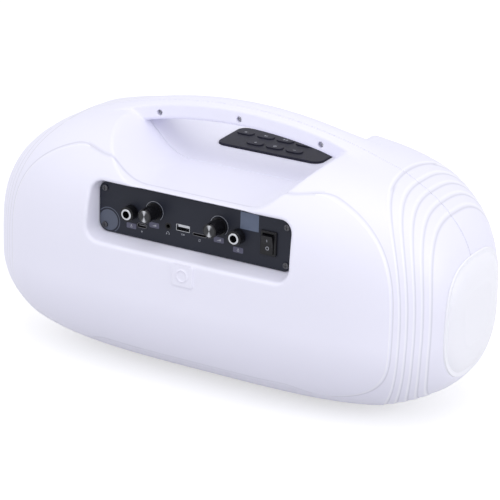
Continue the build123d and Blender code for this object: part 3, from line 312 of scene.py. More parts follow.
def handle(x, y, z):
    """The bridge handle, crowned across its width and widening to its ends."""
    crest = HANDLE_TOP_Z - (HANDLE_TOP_Z - HANDLE_END_Z) * (x / HANDLE_END_X) ** 2
    flare = np.maximum(np.abs(x) - HANDLE_FLARE_X, 0) / (HANDLE_END_X - HANDLE_FLARE_X)
    half = HANDLE_HALF + (HANDLE_END_HALF - HANDLE_HALF) * flare**2
    lean = np.sqrt(1 + (2 * (HANDLE_TOP_Z - HANDLE_END_Z) * x / HANDLE_END_X**2) ** 2)
    middle = crest - HANDLE_THICKNESS / 2
    bar = rounded_rectangle(y, z - middle, (half, HANDLE_THICKNESS / 2), HANDLE_EDGE)
    crown = z - (crest - HANDLE_CROWN * (y / half) ** 2)
    crown = crown / np.sqrt(1 + (2 * HANDLE_CROWN * y / half**2) ** 2)
    upper = join_high(np.abs(y) - half, crown, HANDLE_CREST_EDGE)
    solid = np.where(z > middle, upper, np.maximum(bar, crown)) / lean
    return np.maximum(solid, np.abs(x) - HANDLE_STOP)


def moulding(x, y, z):
    """The closed outer form of the cabinet; negative inside."""
    height, along, above_scoop = over_scoop(x, y, z)
    outside = join_high(*past_oval_and_lip(x, y, z), FIELD_LIP_ROUND)
    solid = hull(x, y, z, FIELD_HEIGHT * eased(-outside / FIELD_RUN) * (y > FIELD_ROOT_Y))
    solid = join_high(solid, np.abs(x) - END_X, END_ROUND)
    scoop = above_scoop - FIELD_LIP_HEIGHT * eased(-outside / FIELD_LIP_RUN)
    solid = join_high(solid, scoop, SCOOP_EDGE)
    solid = join(solid, handle(x, y, z), HANDLE_FILLET)
    grown = (y - RECESS_FLOOR_Y) * math.tan(RECESS_DRAFT)
    half = (RECESS_HALF[0] + grown, RECESS_HALF[1] + grown)
    corner = RECESS_CORNER + np.maximum(grown, RECESS_MOST_SHRUNK)
    recess = rounded_rectangle(x, z - PANEL_Z, half, corner) * math.cos(RECESS_DRAFT)
    recess = join_high(recess, RECESS_FLOOR_Y - y, RECESS_ROUND)
    solid = cut(solid, recess, RECESS_LIP)
    solid = join_high(solid, BASE_FLAT_Z - z, BASE_ROUND)
    badge = rounded_rectangle(x, z - BADGE_Z, BADGE_HALF, BADGE_CORNER)
    badge = np.maximum(badge, between(y, BADGE_ROOT_Y, BADGE_FACE_Y))
    solid = join(solid, badge, BADGE_FILLET)
    ring = np.abs(np.hypot(x, z - BADGE_Z) - RING_RADIUS) - RING_HALF_WIDTH
    ring = np.maximum(ring, between(y, BADGE_ROOT_Y, RING_FACE_Y))
    solid = join(solid, ring, RING_FILLET)
    solid = cut(solid, np.maximum(stadium(x, z, FRONT_RADIUS), y - FRONT_SEAT_Y), FRONT_EDGE)
    pad = rounded_rectangle(x, along - PAD_Y, PAD_HALF, PAD_CORNER)
    solid = cut(solid, np.maximum(pad, -PAD_SUNK - height), PAD_EDGE)
    for screw_x, screw_z in HANDLE_SCREWS:
        hole = np.hypot(x - screw_x, z - screw_z) - SCREW_HOLE_RADIUS
        solid = cut(solid, np.maximum(hole, SCREW_HOLE_FLOOR_Y - y), SCREW_HOLE_EDGE)
    return solid


def hollow_moulding(x, y, z):
    """The cabinet's skin with the windows for panel, grille and pad and the foot sockets."""
    outer = moulding(x, y, z)
    skin = np.maximum(outer, -(outer + WALL))
    seat = rounded_rectangle(x, z - PANEL_Z, SEAT_HALF, SEAT_CORNER)
    skin = cut_sharp(skin, seat, between(y, *SEAT_CUT))
    window = stadium(x, z, FRONT_WINDOW)
    skin = cut_sharp(skin, window, between(y, *FRONT_CUT))
    height, along, _ = over_scoop(x, y, z)
    opening = rounded_rectangle(x, along - PAD_Y, PAD_WINDOW, PAD_WINDOW_CORNER)
    skin = cut_sharp(skin, opening, np.abs(height) - 2 * WALL)
    for foot_x, foot_y in FOOT_PLACES:
        socket = np.hypot(x - foot_x, y - foot_y) - FOOT_SOCKET_RADIUS
        skin = cut_sharp(skin, socket, z - FOOT_SOCKET_TOP_Z)
    return skin


# ================================================================ meshing
def sampled(field, step):
    """The field on a regular lattice, worked out only near the surface and in parallel."""
    low = np.array(LATTICE_LOW)
    count = np.ceil((np.array(LATTICE_HIGH) - low) / step).astype(int) + 1
    coarse = [
        low[i] + COARSENING * step * np.arange(math.ceil(count[i] / COARSENING) + 1)
        for i in range(3)
    ]
    slices = np.array_split(coarse[0], SLICES)
    with ThreadPoolExecutor() as pool:
        rough = pool.map(lambda x: field(*np.meshgrid(x, *coarse[1:], indexing="ij")), slices)
        rough = np.concatenate(list(rough))
    values = np.sign(rough).astype(np.float32) * BAND * step
    for axis in range(3):
        values = np.repeat(values, COARSENING, axis)
    values = values[: count[0], : count[1], : count[2]].copy()
    offsets = np.indices((COARSENING,) * 3).reshape(3, -1).T

    def fill(blocks):
        spots = (blocks[:, None, :] * COARSENING + offsets).reshape(-1, 3)
        spots = spots[(spots < count).all(1)]
        values[tuple(spots.T)] = field(*(low + step * spots).T)

    near = np.argwhere(np.abs(rough) < NEAR_BLOCKS * COARSENING * step)
    jobs = max(LEAST_JOBS, len(near) // BLOCKS_EACH)
    with ThreadPoolExecutor() as pool:
        list(pool.map(fill, np.array_split(near, jobs)))
    return values


def evaluated(field, points):
    """The field at many points, worked out in parallel."""
    with ThreadPoolExecutor() as pool:
        parts = pool.map(lambda part: field(*part.T), np.array_split(points, CHUNKS))
        return np.concatenate(list(parts))


def settled(points, field, step, on_seam, rounds=2, probe=0.2):
    """Moves each point down the field's slope until it lies on the surface."""
    value = evaluated(field, points)
    ahead = [evaluated(field, points + probe * axis) for axis in np.eye(3)]
    slope = np.stack([there - value for there in ahead], 1) / probe
    slope /= np.maximum((slope**2).sum(1), LEAST_SQUARED_SLOPE)[:, None]
    for _ in range(rounds):
        move = np.clip(value, -MOST_MOVE * step, MOST_MOVE * step)
        move[on_seam & (value < SEAM_HOLD * step)] = 0
        points = points - move[:, None] * slope
        points[on_seam, 1] = SEAM_Y
        value = evaluated(field, points)
    return points


def half_shell(values, side, step, adaptivity):
    """Points in millimetres and faces of the half in front of or behind the parting plane."""
    y = LATTICE_LOW[1] + step * np.arange(values.shape[1], dtype=np.float32)
    half = np.maximum(values, (side * (SEAM_Y - y))[None, :, None])
    grid = openvdb.FloatGrid(BAND * step)
    grid.copyFromArray(np.clip(half, -BAND * step, BAND * step))
    points, triangles, quads = grid.convertToPolygons(isovalue=0.0, adaptivity=adaptivity)
    points = np.array(LATTICE_LOW) + step * np.asarray(points, float)
    faces = [*np.asarray(quads)[:, ::-1], *np.asarray(triangles)[:, ::-1]]
    on_seam = np.abs(points[:, 1] - SEAM_Y) < SEAM_NEAR * step
    return settled(points, hollow_moulding, step, on_seam), faces


# ================================================================ pieces
def both(name):
    """Names of the two like nodes at the right and the left."""
    return f"{name}_right", f"{name}_left"


def middle(node):
    """Middle of a node's box, in millimetres."""
    low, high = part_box(node)
    return (low + high) / 2 / MM


def linked(name, data):
    """New object in the scene."""
    made = bpy.data.objects.new(name, data)
    bpy.context.scene.collection.objects.link(made)
    return made


def new_piece(name, points, faces, body, replaces, material, sharp=math.radians(35)):
    """Smooth mesh from points in millimetres that rides on a body in place of the nodes."""
    mesh = bpy.data.meshes.new(name)
    mesh.from_pydata((np.asarray(points) * MM).tolist(), [], [list(map(int, f)) for f in faces])
    mesh.validate()
    mesh.polygons.foreach_set("use_smooth", [True] * len(mesh.polygons))
    mesh.set_sharp_from_angle(angle=sharp)
    mesh.update()
    mesh.materials.append(material)
    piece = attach(linked(name, mesh), body)
    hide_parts(*replaces)
    return piece


def polar(radius, angle):
    return radius * math.cos(angle), radius * math.sin(angle)


def turned(profile, segments=96):
    """Points and faces of a profile of (radius, height) pairs turned about +Z."""
    points, faces, rings = [], [], []
    for radius, height in profile:
        if radius < 1e-6:
            rings.append([len(points)])
            points.append((0.0, 0.0, height))
            continue
        rings.append(list(range(len(points), len(points) + segments)))
        points += [(*polar(radius, 2 * math.pi * k / segments), height) for k in range(segments)]
    for low, high in zip(rings, rings[1:]):
        for k in range(segments):
            n = (k + 1) % segments
            if len(low) == 1:
                faces.append((low[0], high[k], high[n]))
            elif len(high) == 1:
                faces.append((low[k], high[0], low[n]))
            else:
                faces.append((low[k], high[k], high[n], low[n]))
    return np.array(points), [f[::-1] for f in faces]


def landing(node, point, facing):
    """Where a line against facing, through a point in millimetres, meets a node, and the normal."""
    start = Vector(point) * MM + Vector(facing) * PRINT_REACH
    hit, place, normal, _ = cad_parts[node].ray_cast(start, -Vector(facing))
    if not hit:
        raise RuntimeError(f"nothing of {node} lies under the print at {point}")
    return place, normal


def printed(name, loops, node, body, material, at, facing, up, thickness):
    """A film of ink bounded by closed loops in millimetres, laid on a node."""
    place, normal = landing(node, at, facing)
    across = Vector(up).cross(normal).normalized()
    upright = normal.cross(across)
    curve = bpy.data.curves.new(name, "CURVE")
    curve.dimensions, curve.fill_mode = "2D", "BOTH"
    curve.extrude = thickness / 2 * MM
    for loop in loops:
        line = curve.splines.new("POLY")
        line.points.add(len(loop) - 1)
        line.points.foreach_set("co", [c for u, v in loop for c in (u * MM, v * MM, 0, 1)])
        line.use_cyclic_u = True
    drawn = linked(name + "_line", curve)
    bpy.context.view_layer.update()
    mesh = bpy.data.meshes.new_from_object(drawn)
    bpy.data.objects.remove(drawn)
    mesh.name = name
    matrix = Matrix((across, upright, normal)).transposed().to_4x4()
    matrix.translation = place + normal * thickness * PRINT_LIFT * MM
    mesh.transform(matrix)
    mesh.materials.append(material)
    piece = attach(linked(name, mesh), body)


# ---------------------------------------------------------------- print outlines
def circle(u, v, radius, count=40):
    turn = [2 * math.pi * k / count for k in range(count)]
    return [(u + radius * math.cos(a), v + radius * math.sin(a)) for a in turn]


def arc_band(radius, width, start, end, count=24):
    """Band along part of a circle; angles in degrees from +u."""
    turn = [math.radians(start + (end - start) * k / count) for k in range(count + 1)]
    outer, inner = ([polar(radius + half, a) for a in turn] for half in (width / 2, -width / 2))
    return outer + inner[::-1]


def box_loop(u, v, width, height, corner=0.0, count=6):
    """Rectangle about a middle, with its corners rounded where a radius is given."""
    if corner <= 0:
        a, b = width / 2, height / 2
        return [(u - a, v - b), (u + a, v - b), (u + a, v + b), (u - a, v + b)]
    loop = []
    for k, (su, sv) in enumerate(((1, 1), (-1, 1), (-1, -1), (1, -1))):
        cu, cv = u + su * (width / 2 - corner), v + sv * (height / 2 - corner)
        for step in range(count + 1):
            angle = math.pi / 2 * (k + step / count)
            loop.append((cu + corner * math.cos(angle), cv + corner * math.sin(angle)))
    return loop


def triangle(u, v, width, height):
    """Triangle that points to +u, or to -u with a negative width."""
    return [(u - width / 2, v - height / 2), (u + width / 2, v), (u - width / 2, v + height / 2)]


RAY_CORNERS = ((1.35, -0.1), (1.9, -0.07), (1.9, 0.07), (1.35, 0.1))   # radius and turn
SYMBOLS = {
    "power": [arc_band(1.5, 0.45, 125, 415), box_loop(0, 1.3, 0.45, 1.7)],
    "back": [triangle(0.5, 0, -2.2, 2.6), box_loop(-1.0, 0, 0.5, 2.6)],
    "play": [triangle(-0.9, 0, 2.2, 2.6), box_loop(1.0, 0, 0.5, 2.6), box_loop(2.0, 0, 0.5, 2.6)],
    "forward": [triangle(-0.5, 0, 2.2, 2.6), box_loop(1.0, 0, 0.5, 2.6)],
    "light": [circle(0, 0, 0.9)] + [
        [polar(r, a + d) for r, d in RAY_CORNERS]
        for a in (math.pi / 4 * k for k in range(8))
    ],
    "less": [box_loop(0, 0, 2.6, 0.5)],
    "mode": [circle(0, 0, 1.6), circle(0, 0, 1.1), circle(0, 0, 0.45)],
    "more": [[
        (-1.3, -0.25), (-0.25, -0.25), (-0.25, -1.3), (0.25, -1.3), (0.25, -0.25), (1.3, -0.25),
        (1.3, 0.25), (0.25, 0.25), (0.25, 1.3), (-0.25, 1.3), (-0.25, 0.25), (-1.3, 0.25),
    ]],
    "microphone": [
        box_loop(0, 0.5, 1.0, 1.9, 0.49), arc_band(1.15, 0.3, 190, 350),
        box_loop(0, -1.25, 1.5, 0.3),
    ],
    "volume": [[(-2.0, -0.9), (2.0, -0.9), (2.0, 1.0)]],
    "bolt": [[(-0.2, -1.4), (0.75, 0.3), (0.05, 0.3), (0.4, 1.4), (-0.7, -0.2), (0.0, -0.2)]],
    "headphones": [
        arc_band(1.2, 0.3, 0, 180), box_loop(-1.2, -0.65, 0.6, 1.1),
        box_loop(1.2, -0.65, 0.6, 1.1),
    ],
    "drive": [box_loop(-0.4, 0, 2.4, 1.2), box_loop(-0.4, 0, 1.9, 0.7), box_loop(1.3, 0, 0.8, 0.8)],
    "card": [[(-0.8, -1.1), (0.8, -1.1), (0.8, 1.1), (-0.3, 1.1), (-0.8, 0.6)],
             [(-0.55, -0.85), (0.55, -0.85), (0.55, 0.85), (-0.2, 0.85), (-0.55, 0.5)]],
    "rocker_bar": [box_loop(0, 0, 0.5, 2.4)],
    "rocker_ring": [circle(0, 0, 1.6), circle(0, 0, 1.15)],
}
KEY_SYMBOLS = ("power", "back", "play", "forward", "light", "less", "mode", "more")


# ================================================================ finishes
class Wire:
    """An output socket to do sums with; each operator adds its Math node."""

    def __init__(self, writer, socket):
        self.writer, self.socket = writer, socket

    def maths(self, operation, *values):
        sockets = dict(enumerate(values))
        return self.writer.node("ShaderNodeMath", {"operation": operation}, sockets)["Value"]

    def __add__(self, other):
        return self.maths("ADD", self, other)

    def __sub__(self, other):
        return self.maths("SUBTRACT", self, other)

    def __rsub__(self, other):
        return self.maths("SUBTRACT", other, self)

    def __mul__(self, other):
        return self.maths("MULTIPLY", self, other)

    def __truediv__(self, other):
        return self.maths("DIVIDE", self, other)

    def __rtruediv__(self, other):
        return self.maths("DIVIDE", other, self)

    def __pow__(self, other):
        return self.maths("POWER", self, other)

    def __rpow__(self, other):
        return self.maths("POWER", other, self)

    def __gt__(self, other):
        return self.maths("GREATER_THAN", self, other)

    def __lt__(self, other):
        return self.maths("LESS_THAN", self, other)

    def __abs__(self):
        return self.maths("ABSOLUTE", self)

    def at_least(self, other):
        return self.maths("MAXIMUM", self, other)

    def at_most(self, other):
        return self.maths("MINIMUM", self, other)

    __radd__, __rmul__ = __add__, __mul__


class Nodes:
    """A node tree being written through one method."""

    def __init__(self, tree):
        self.tree = tree

    def node(self, kind, settings=None, sockets=None):
        """Adds a node, settings first and then sockets, and returns its outputs by name."""
        made = self.tree.nodes.new(kind)
        for name, value in (settings or {}).items():
            setattr(made, name, value)
        for key, value in (sockets or {}).items():
            if isinstance(key, int):
                socket = made.inputs[key]
            else:
                socket = next(s for s in made.inputs if key in (s.identifier, s.name))
            if isinstance(value, Wire):
                self.tree.links.new(value.socket, socket)
            else:
                socket.default_value = value
        return {out.identifier: Wire(self, out) for out in made.outputs}

    def seen_or_mirrored(self):
        """1 for camera, glossy and transmission rays, 0 for the rays that light the object."""
        rays = self.node("ShaderNodeLightPath")
        seen = rays["Is Camera Ray"].at_least(rays["Is Glossy Ray"])
        return seen.at_least(rays["Is Transmission Ray"])


class Finish(Nodes):
    """A material being written: fixed values go straight onto its shader, the rest is wired."""

    def __init__(self, name, **fixed):
        self.material = bpy.data.materials.new(name)
        self.material.use_nodes = True
        super().__init__(self.material.node_tree)
        self.shader = self.tree.nodes["Principled BSDF"]
        for socket, value in fixed.items():
            self.shader.inputs[socket.replace("_", " ")].default_value = value

    def feed(self, socket, wire):
        self.tree.links.new(wire.socket, self.shader.inputs[socket])

    def surface(self, tone, roughness, height, depth):
        """Wires the tone, the roughness and a bump in metres, and returns the material."""
        self.feed("Base Color", tone)
        if roughness is not None:
            self.feed("Roughness", roughness)
        sockets = {"Height": height, "Distance": depth, "Strength": 1.0}
        self.feed("Normal", self.node("ShaderNodeBump", None, sockets)["Normal"])
        return self.material

    def place(self, kind="Object"):
        return self.node("ShaderNodeTexCoord")[kind]

    def parts(self, vector):
        out = self.node("ShaderNodeSeparateXYZ", None, {"Vector": vector})
        return out["X"], out["Y"], out["Z"]

    def stretched(self, vector, scale):
        """The vector with each direction scaled, which draws a texture out along one."""
        settings = {"operation": "MULTIPLY"}
        return self.node("ShaderNodeVectorMath", settings, {0: vector, 1: scale})["Vector"]

    def noise(self, vector, size, detail=2.0, roughness=0.5):
        """Noise from 0 to 1 whose blotches are about size metres wide."""
        sockets = {"Vector": vector, "Scale": 1 / size, "Detail": detail, "Roughness": roughness}
        return self.node("ShaderNodeTexNoise", None, sockets)["Fac"]

    def cells(self, vector, size):
        sockets = {"Vector": vector, "Scale": 1 / size}
        return self.node("ShaderNodeTexVoronoi", None, sockets)["Distance"]

    def mix(self, share, low, high):
        sockets = {"Factor_Float": share, "A_Color": low, "B_Color": high}
        return self.node("ShaderNodeMix", {"data_type": "RGBA"}, sockets)["Result_Color"]

    def shades(self, share, colour, low, high):
        """The colour between two of its tints."""
        return self.mix(share, tint(colour, low), tint(colour, high))


def tint(colour, share):
    """The colour made lighter, or darker where share is below 1."""
    return tuple(min(1.0, c * share) for c in colour[:3]) + (1.0,)


def moulded(name, colour, roughness, grain, depth, spread=0.04, shine=0.5):
    """Injection-moulded plastic: cloudy flow in its tone and a fine spark-eroded grain."""
    finish = Finish(name, Specular_IOR_Level=shine)
    at = finish.place()
    flow, fine = finish.noise(at, 0.06, 3.0), finish.noise(at, grain, 2.0, 0.6)
    tone = finish.shades(flow, colour, 1 - spread, 1 + spread)
    return finish.surface(tone, roughness - 0.04 + fine * 0.08, fine, depth)


def stripe(distance, width):
    """1 where the distance is 0, falling to 0 at the width."""
    return (1 - abs(distance) / width).at_least(0.0)


def painted_step_light(x, y, z):
    """How much painted highlight a spot gets on a moulded step's crest, and how much painted shade
    at its foot and at the scoop's lip.
    """
    crest_highlights, feet = 0.0, 0.0
    for number in range(TERRACES):
        past = past_terrace(x, z, number)
        crest_highlights = crest_highlights + stripe(past - CREST_PAST, CREST_HIGHLIGHT_WIDTH)
        # painted shade in the corner at the foot of each step
        feet = feet + stripe(past - TERRACE_RUN - FOOT_PAST, FOOT_SHADE_WIDTH)
    oval, lip = past_oval_and_lip(x, y, z)
    past, rear = join_high(oval, lip, FIELD_LIP_ROUND), y > FIELD_ROOT_Y
    crest_highlights = crest_highlights + stripe(past + FIELD_RUN, CREST_HIGHLIGHT_WIDTH) * rear * (oval > lip - LIP_OVERLAP)
    feet = feet + stripe(past - FIELD_FOOT_PAST, FOOT_SHADE_WIDTH) * rear * (oval > lip)
    # painted shade along the end of the raised oval inside the scoop
    feet = feet + stripe(past + FIELD_FOOT_PAST, LIP_SHADE_WIDTH) * rear * (lip > oval)
    return crest_highlights, feet


def shell_finish(name, colour, grain):
    """The shells' plastic, with a painted highlight along each moulded step's crest and painted
    shade at its foot, where it is also a little rougher.
    """
    finish = Finish(name, Specular_IOR_Level=0.5)
    at = finish.place()
    crest_highlights, feet = painted_step_light(*finish.parts(finish.stretched(at, (1 / MM,) * 3)))
    flow, fine = finish.noise(at, 0.06, 3.0), finish.noise(at, grain, 2.0, 0.6)
    tone = finish.shades(flow, colour, 0.988, 1.012)
    # painted highlight: the tone is mixed towards white along each step's crest line
    tone = finish.mix(crest_highlights * CREST_HIGHLIGHT_SHARE, tone, WHITE)
    # painted shade: the tone is darkened at the foot of each step and along the scoop's lip
    tone = finish.mix(feet * FOOT_SHADE_SHARE, tone, tint(colour, FOOT_SHADE_TONE))
    return finish.surface(tone, 0.38 + fine * 0.08 + feet * 0.1, fine, 7e-6)


def metal(name, colour, roughness, grain, direction=(1.0, 1.0, 1.0), depth=2e-6, spread=0.06):
    """Plated or drawn metal: fine scratches along one direction and a slightly uneven polish."""
    finish = Finish(name, Metallic=1.0)
    at = finish.place()
    scratches = finish.noise(finish.stretched(at, direction), grain, 3.0, 0.6)
    tone = finish.shades(finish.noise(at, 0.012), colour, 1 - spread, 1 + spread)
    return finish.surface(tone, roughness * (0.8 + scratches * 0.4), scratches, depth)


def spun(name, colour):
    """Aluminium turned on a lathe: fine rings, and a painted highlight of two bright wedges where
    such a face reflects the lamps.
    """
    finish = Finish(name, Metallic=1.0)
    x, _, z = finish.parts(finish.place("Generated"))
    radius = ((x - 0.5) ** 2.0 + (z - 0.5) ** 2.0) ** 0.5
    # painted highlight: two bright wedges above and below the middle of the cap
    painted_glint_fans = (abs(z - 0.5) / radius.at_least(0.01)) ** 14.0
    sockets = {"W": radius, "Scale": 90.0, "Detail": 3.0}
    rings = finish.node("ShaderNodeTexNoise", {"noise_dimensions": "1D"}, sockets)["Fac"]
    # the painted highlight lifts the tone from a fifth of the colour to over twice it
    tone = finish.shades(painted_glint_fans * (0.7 + rings * 0.3), colour, 0.2, 2.4)
    return finish.surface(tone, 0.16 + rings * 0.14, rings, 6e-6)


def panel_plate(name, colour):
    """Slate panel: matt varnish with a speckle of fine grain and faint rub marks."""
    finish = Finish(name, Specular_IOR_Level=0.22)
    at = finish.place()
    speckle, clouds = finish.noise(at, 0.0004, 2.0, 0.7), finish.noise(at, 0.03, 3.0)
    rubs = finish.noise(finish.stretched(at, (0.12, 1.0, 1.0)), 0.002, 4.0)
    tone = finish.shades(clouds, colour, 0.9, 1.12)
    tone = finish.mix(speckle * 0.35, tone, tint(colour, 1.6))
    return finish.surface(tone, 0.36 + rubs * 0.16, speckle, 8e-6)


def rubbery(name, colour, grain=0.0012):
    """Rubber: dusty in patches and pitted all over."""
    finish = Finish(name, Specular_IOR_Level=0.35)
    at = finish.place()
    pits, dust = finish.noise(at, grain, 3.0), finish.noise(at, 0.01, 3.0)
    return finish.surface(finish.shades(dust, colour, 0.8, 1.5), 0.66 + pits * 0.2, pits, 3e-5)


def circuit_board(name, colour):
    """Solder mask over copper tracks, with tinned pads where the cells of the layout meet."""
    finish = Finish(name, Specular_IOR_Level=0.6, Coat_Weight=0.3)
    at = finish.place()
    tracks = finish.node("ShaderNodeTexBrick", {"offset": 0.5}, {
        "Vector": at, "Color1": BLACK, "Color2": (0.2, 0.2, 0.2, 1.0), "Mortar": WHITE,
        "Scale": 220.0, "Mortar Size": 0.09,
    })["Fac"]
    pads = finish.cells(at, 0.0035) < 0.22
    mask = finish.shades(tracks, colour, 0.8, 1.9)
    finish.feed("Metallic", pads)
    tone = finish.mix(pads, mask, (0.62, 0.62, 0.6, 1.0))
    return finish.surface(tone, 0.42 - pads * 0.12, tracks + pads, 3e-5)


def pressed_paper(name, colour):
    """Pulp cone: felted fibres with a slight sheen where they lie flat."""
    finish = Finish(name, Sheen_Weight=0.25, Sheen_Roughness=0.5)
    at = finish.place()
    felt, lumps = finish.noise(at, 0.0007, 5.0, 0.7), finish.noise(at, 0.006, 3.0)
    tone = finish.shades(felt, colour, 0.65, 1.7)
    return finish.surface(tone, 0.7 + lumps * 0.2, felt + lumps * 0.5, 6e-5)


def fibreboard(name, colour):
    """Painted board: the pressed fibres show as short streaks."""
    finish = Finish(name, Specular_IOR_Level=0.3)
    streaks = finish.stretched(finish.place(), (0.3, 1.0, 1.0))
    fibres = finish.noise(streaks, 0.0015, 5.0, 0.75)
    tone = finish.shades(fibres, colour, 0.6, 1.7)
    return finish.surface(tone, 0.72 + fibres * 0.18, fibres, 5e-5)


def powder_coat(name, colour, roughness=0.5):
    """Baked powder paint: an orange-peel skin with a few brighter grains."""
    finish = Finish(name, Specular_IOR_Level=0.5)
    at = finish.place()
    peel, grains = finish.noise(at, 0.0009), finish.noise(at, 0.00025, 1.0)
    tone = finish.shades(grains, colour, 0.75, 1.5)
    return finish.surface(tone, roughness - 0.06 + peel * 0.12, peel, 3e-5)


def metallic_paint(name, colour):
    """Silver paint: flakes under a clear coat."""
    finish = Finish(name, Coat_Weight=0.6, Coat_Roughness=0.12, Roughness=0.35)
    at = finish.place()
    flakes = finish.cells(at, 0.0003)
    finish.feed("Metallic", 0.45 + flakes * 0.4)
    tone = finish.shades(flakes, colour, 0.8, 1.15)
    return finish.surface(tone, None, finish.noise(at, 0.002, 1.0), 5e-6)


def cell_wrap(name, colour):
    """Heat-shrunk sleeve with a pale band at each end of the cell."""
    finish = Finish(name, Coat_Weight=0.5, Coat_Roughness=0.2, Specular_IOR_Level=0.5)
    x, _, _ = finish.parts(finish.place("Generated"))
    band = ((x - 0.5) ** 2.0) ** 0.5 > 0.462
    creases = finish.stretched(finish.place(), (1.0, 0.25, 0.25))
    wrinkles = finish.noise(creases, 0.0012, 3.0)
    tone = finish.shades(wrinkles, colour, 0.8, 1.2)
    tone = finish.mix(band, tone, (0.72, 0.72, 0.7, 1.0))
    return finish.surface(tone, 0.3 + wrinkles * 0.15, wrinkles, 3e-5)


def screen_ink(name, colour):
    """Screen-printed ink: a slightly uneven film, pitted by the mesh it came through."""
    finish = Finish(name, Specular_IOR_Level=0.4)
    at = finish.place()
    film, pits = finish.noise(at, 0.003, 3.0), finish.noise(at, 0.0003, 1.0)
    return finish.surface(finish.shades(film, colour, 0.92, 1.06), 0.42 + pits * 0.14, pits, 4e-6)


# ================================================================ settings
def colour_property(name, text, default):
    return FloatVectorProperty(
        name=name, description=text, subtype="COLOR", size=3, min=0.0, max=1.0, default=default
    )


def length_property(name, text, default, low=0.0):
    return FloatProperty(
        name=name, description=text, default=default, min=low, subtype="DISTANCE", unit="LENGTH"
    )


def power_property(name, text, default):
    return FloatProperty(name=name, description=text, default=default, min=0.0, unit="POWER")


class ShellSettings(bpy.types.PropertyGroup):
    mesh_step: length_property(
        "Mesh step", "Distance between the points of the shells' meshes", 0.001, 0.0006
    )
    adaptivity: FloatProperty(
        name="Adaptivity", description="How far flat stretches of the shells are simplified",
        default=0.0, min=0.0, max=1.0,
    )
    colour: colour_property("Shell colour", "Colour of the moulded shells", (0.82, 0.815, 0.94))
    cover_colour: colour_property("Cover colour", "Colour of the end covers", (0.86, 0.86, 0.93))
    grain: length_property("Grain", "Width of the moulded surface's grain", 0.0007)


class PrintSettings(bpy.types.PropertyGroup):
    thickness: length_property("Film thickness", "How thick the printed ink is", 0.00008)
    label_width: length_property("Label width", "Width of the panel's small labels", 0.0096)
    label_height: length_property("Label height", "Height of the small labels", 0.0048)
    label_drop: length_property("Label drop", "Drop of a label from its jack or knob", 0.0123)
    roundel_radius: length_property("Roundel radius", "Radius of the plain roundel", 0.0115)
    label_colour: colour_property("Label colour", "Colour of the labels", (0.085, 0.085, 0.135))
    roundel_colour: colour_property(
        "Roundel colour", "Colour of the plain roundel", (0.075, 0.088, 0.125)
    )
    patch_colour: colour_property("Patch colour", "Colour of the bare patch", (0.10, 0.125, 0.19))
    mark_colour: colour_property("Mark colour", "Colour of the symbols", (0.36, 0.37, 0.42))


class PanelSettings(bpy.types.PropertyGroup):
    panel_colour: colour_property("Panel colour", "Colour of the panel", (0.0125, 0.0145, 0.024))
    knob_colour: colour_property(
        "Knob colour", "Colour of the knobs, sockets and switch", (0.005, 0.005, 0.0065)
    )
    pad_colour: colour_property("Pad colour", "Colour of the pad and keys", (0.022, 0.022, 0.036))
    cap_groove: length_property("Cap groove", "Width of a knob cap's groove", 0.00035, 0.0001)
    cap_depth: length_property("Groove depth", "Height of the knob caps' grooves", 0.000015)


class GrilleSettings(bpy.types.PropertyGroup):
    hole_radius: length_property("Hole radius", "Radius of the grille sheet's holes", 0.0013)
    pitch: length_property("Hole pitch", "Distance between the holes' middles", 0.0036, 0.001)
    rim: length_property("Rim", "Width of the plain rim round the holes", 0.007)
    colour: colour_property("Grille colour", "Colour of the perforated sheet", (0.02, 0.02, 0.021))


class StageSettings(bpy.types.PropertyGroup):
    floor_radius: length_property("Floor radius", "Radius of the floor", 12.0)
    floor_colour: colour_property("Floor colour", "Colour of the floor", (0.62, 0.62, 0.63))
    sky: FloatProperty(
        name="Sky", description="Strength of the even light all round", default=0.74, min=0.0
    )
    top_power: power_property("Top lamp", "Power of the lamp overhead", 10.0)
    side_power: power_property("Side lamp", "Power of the lamp at the speaker's left end", 17.0)
    fill_power: power_property("Fill lamp", "Power of the lamp in front of the panel", 15.0)


# ================================================================ operators
class SPEAKER_OT_shells(bpy.types.Operator):
    """Mesh the rear and the front shell of the cabinet"""

    bl_idname = "speaker.shells"
    bl_label = "Moulded Shells"

    def execute(self, context):
        settings = context.scene.speaker_shell
        step = settings.mesh_step / MM * 1.0
        values = sampled(hollow_moulding, step)
        plastic = shell_finish("shell_plastic", settings.colour, settings.grain)
        for name, side in (("rear", 1), ("front", -1)):
            points, faces = half_shell(values, side, step, settings.adaptivity)
            new_piece(f"{name}_moulding", points, faces, CABINET,
                      (f"{name}_shell",), plastic)
        return {"FINISHED"}


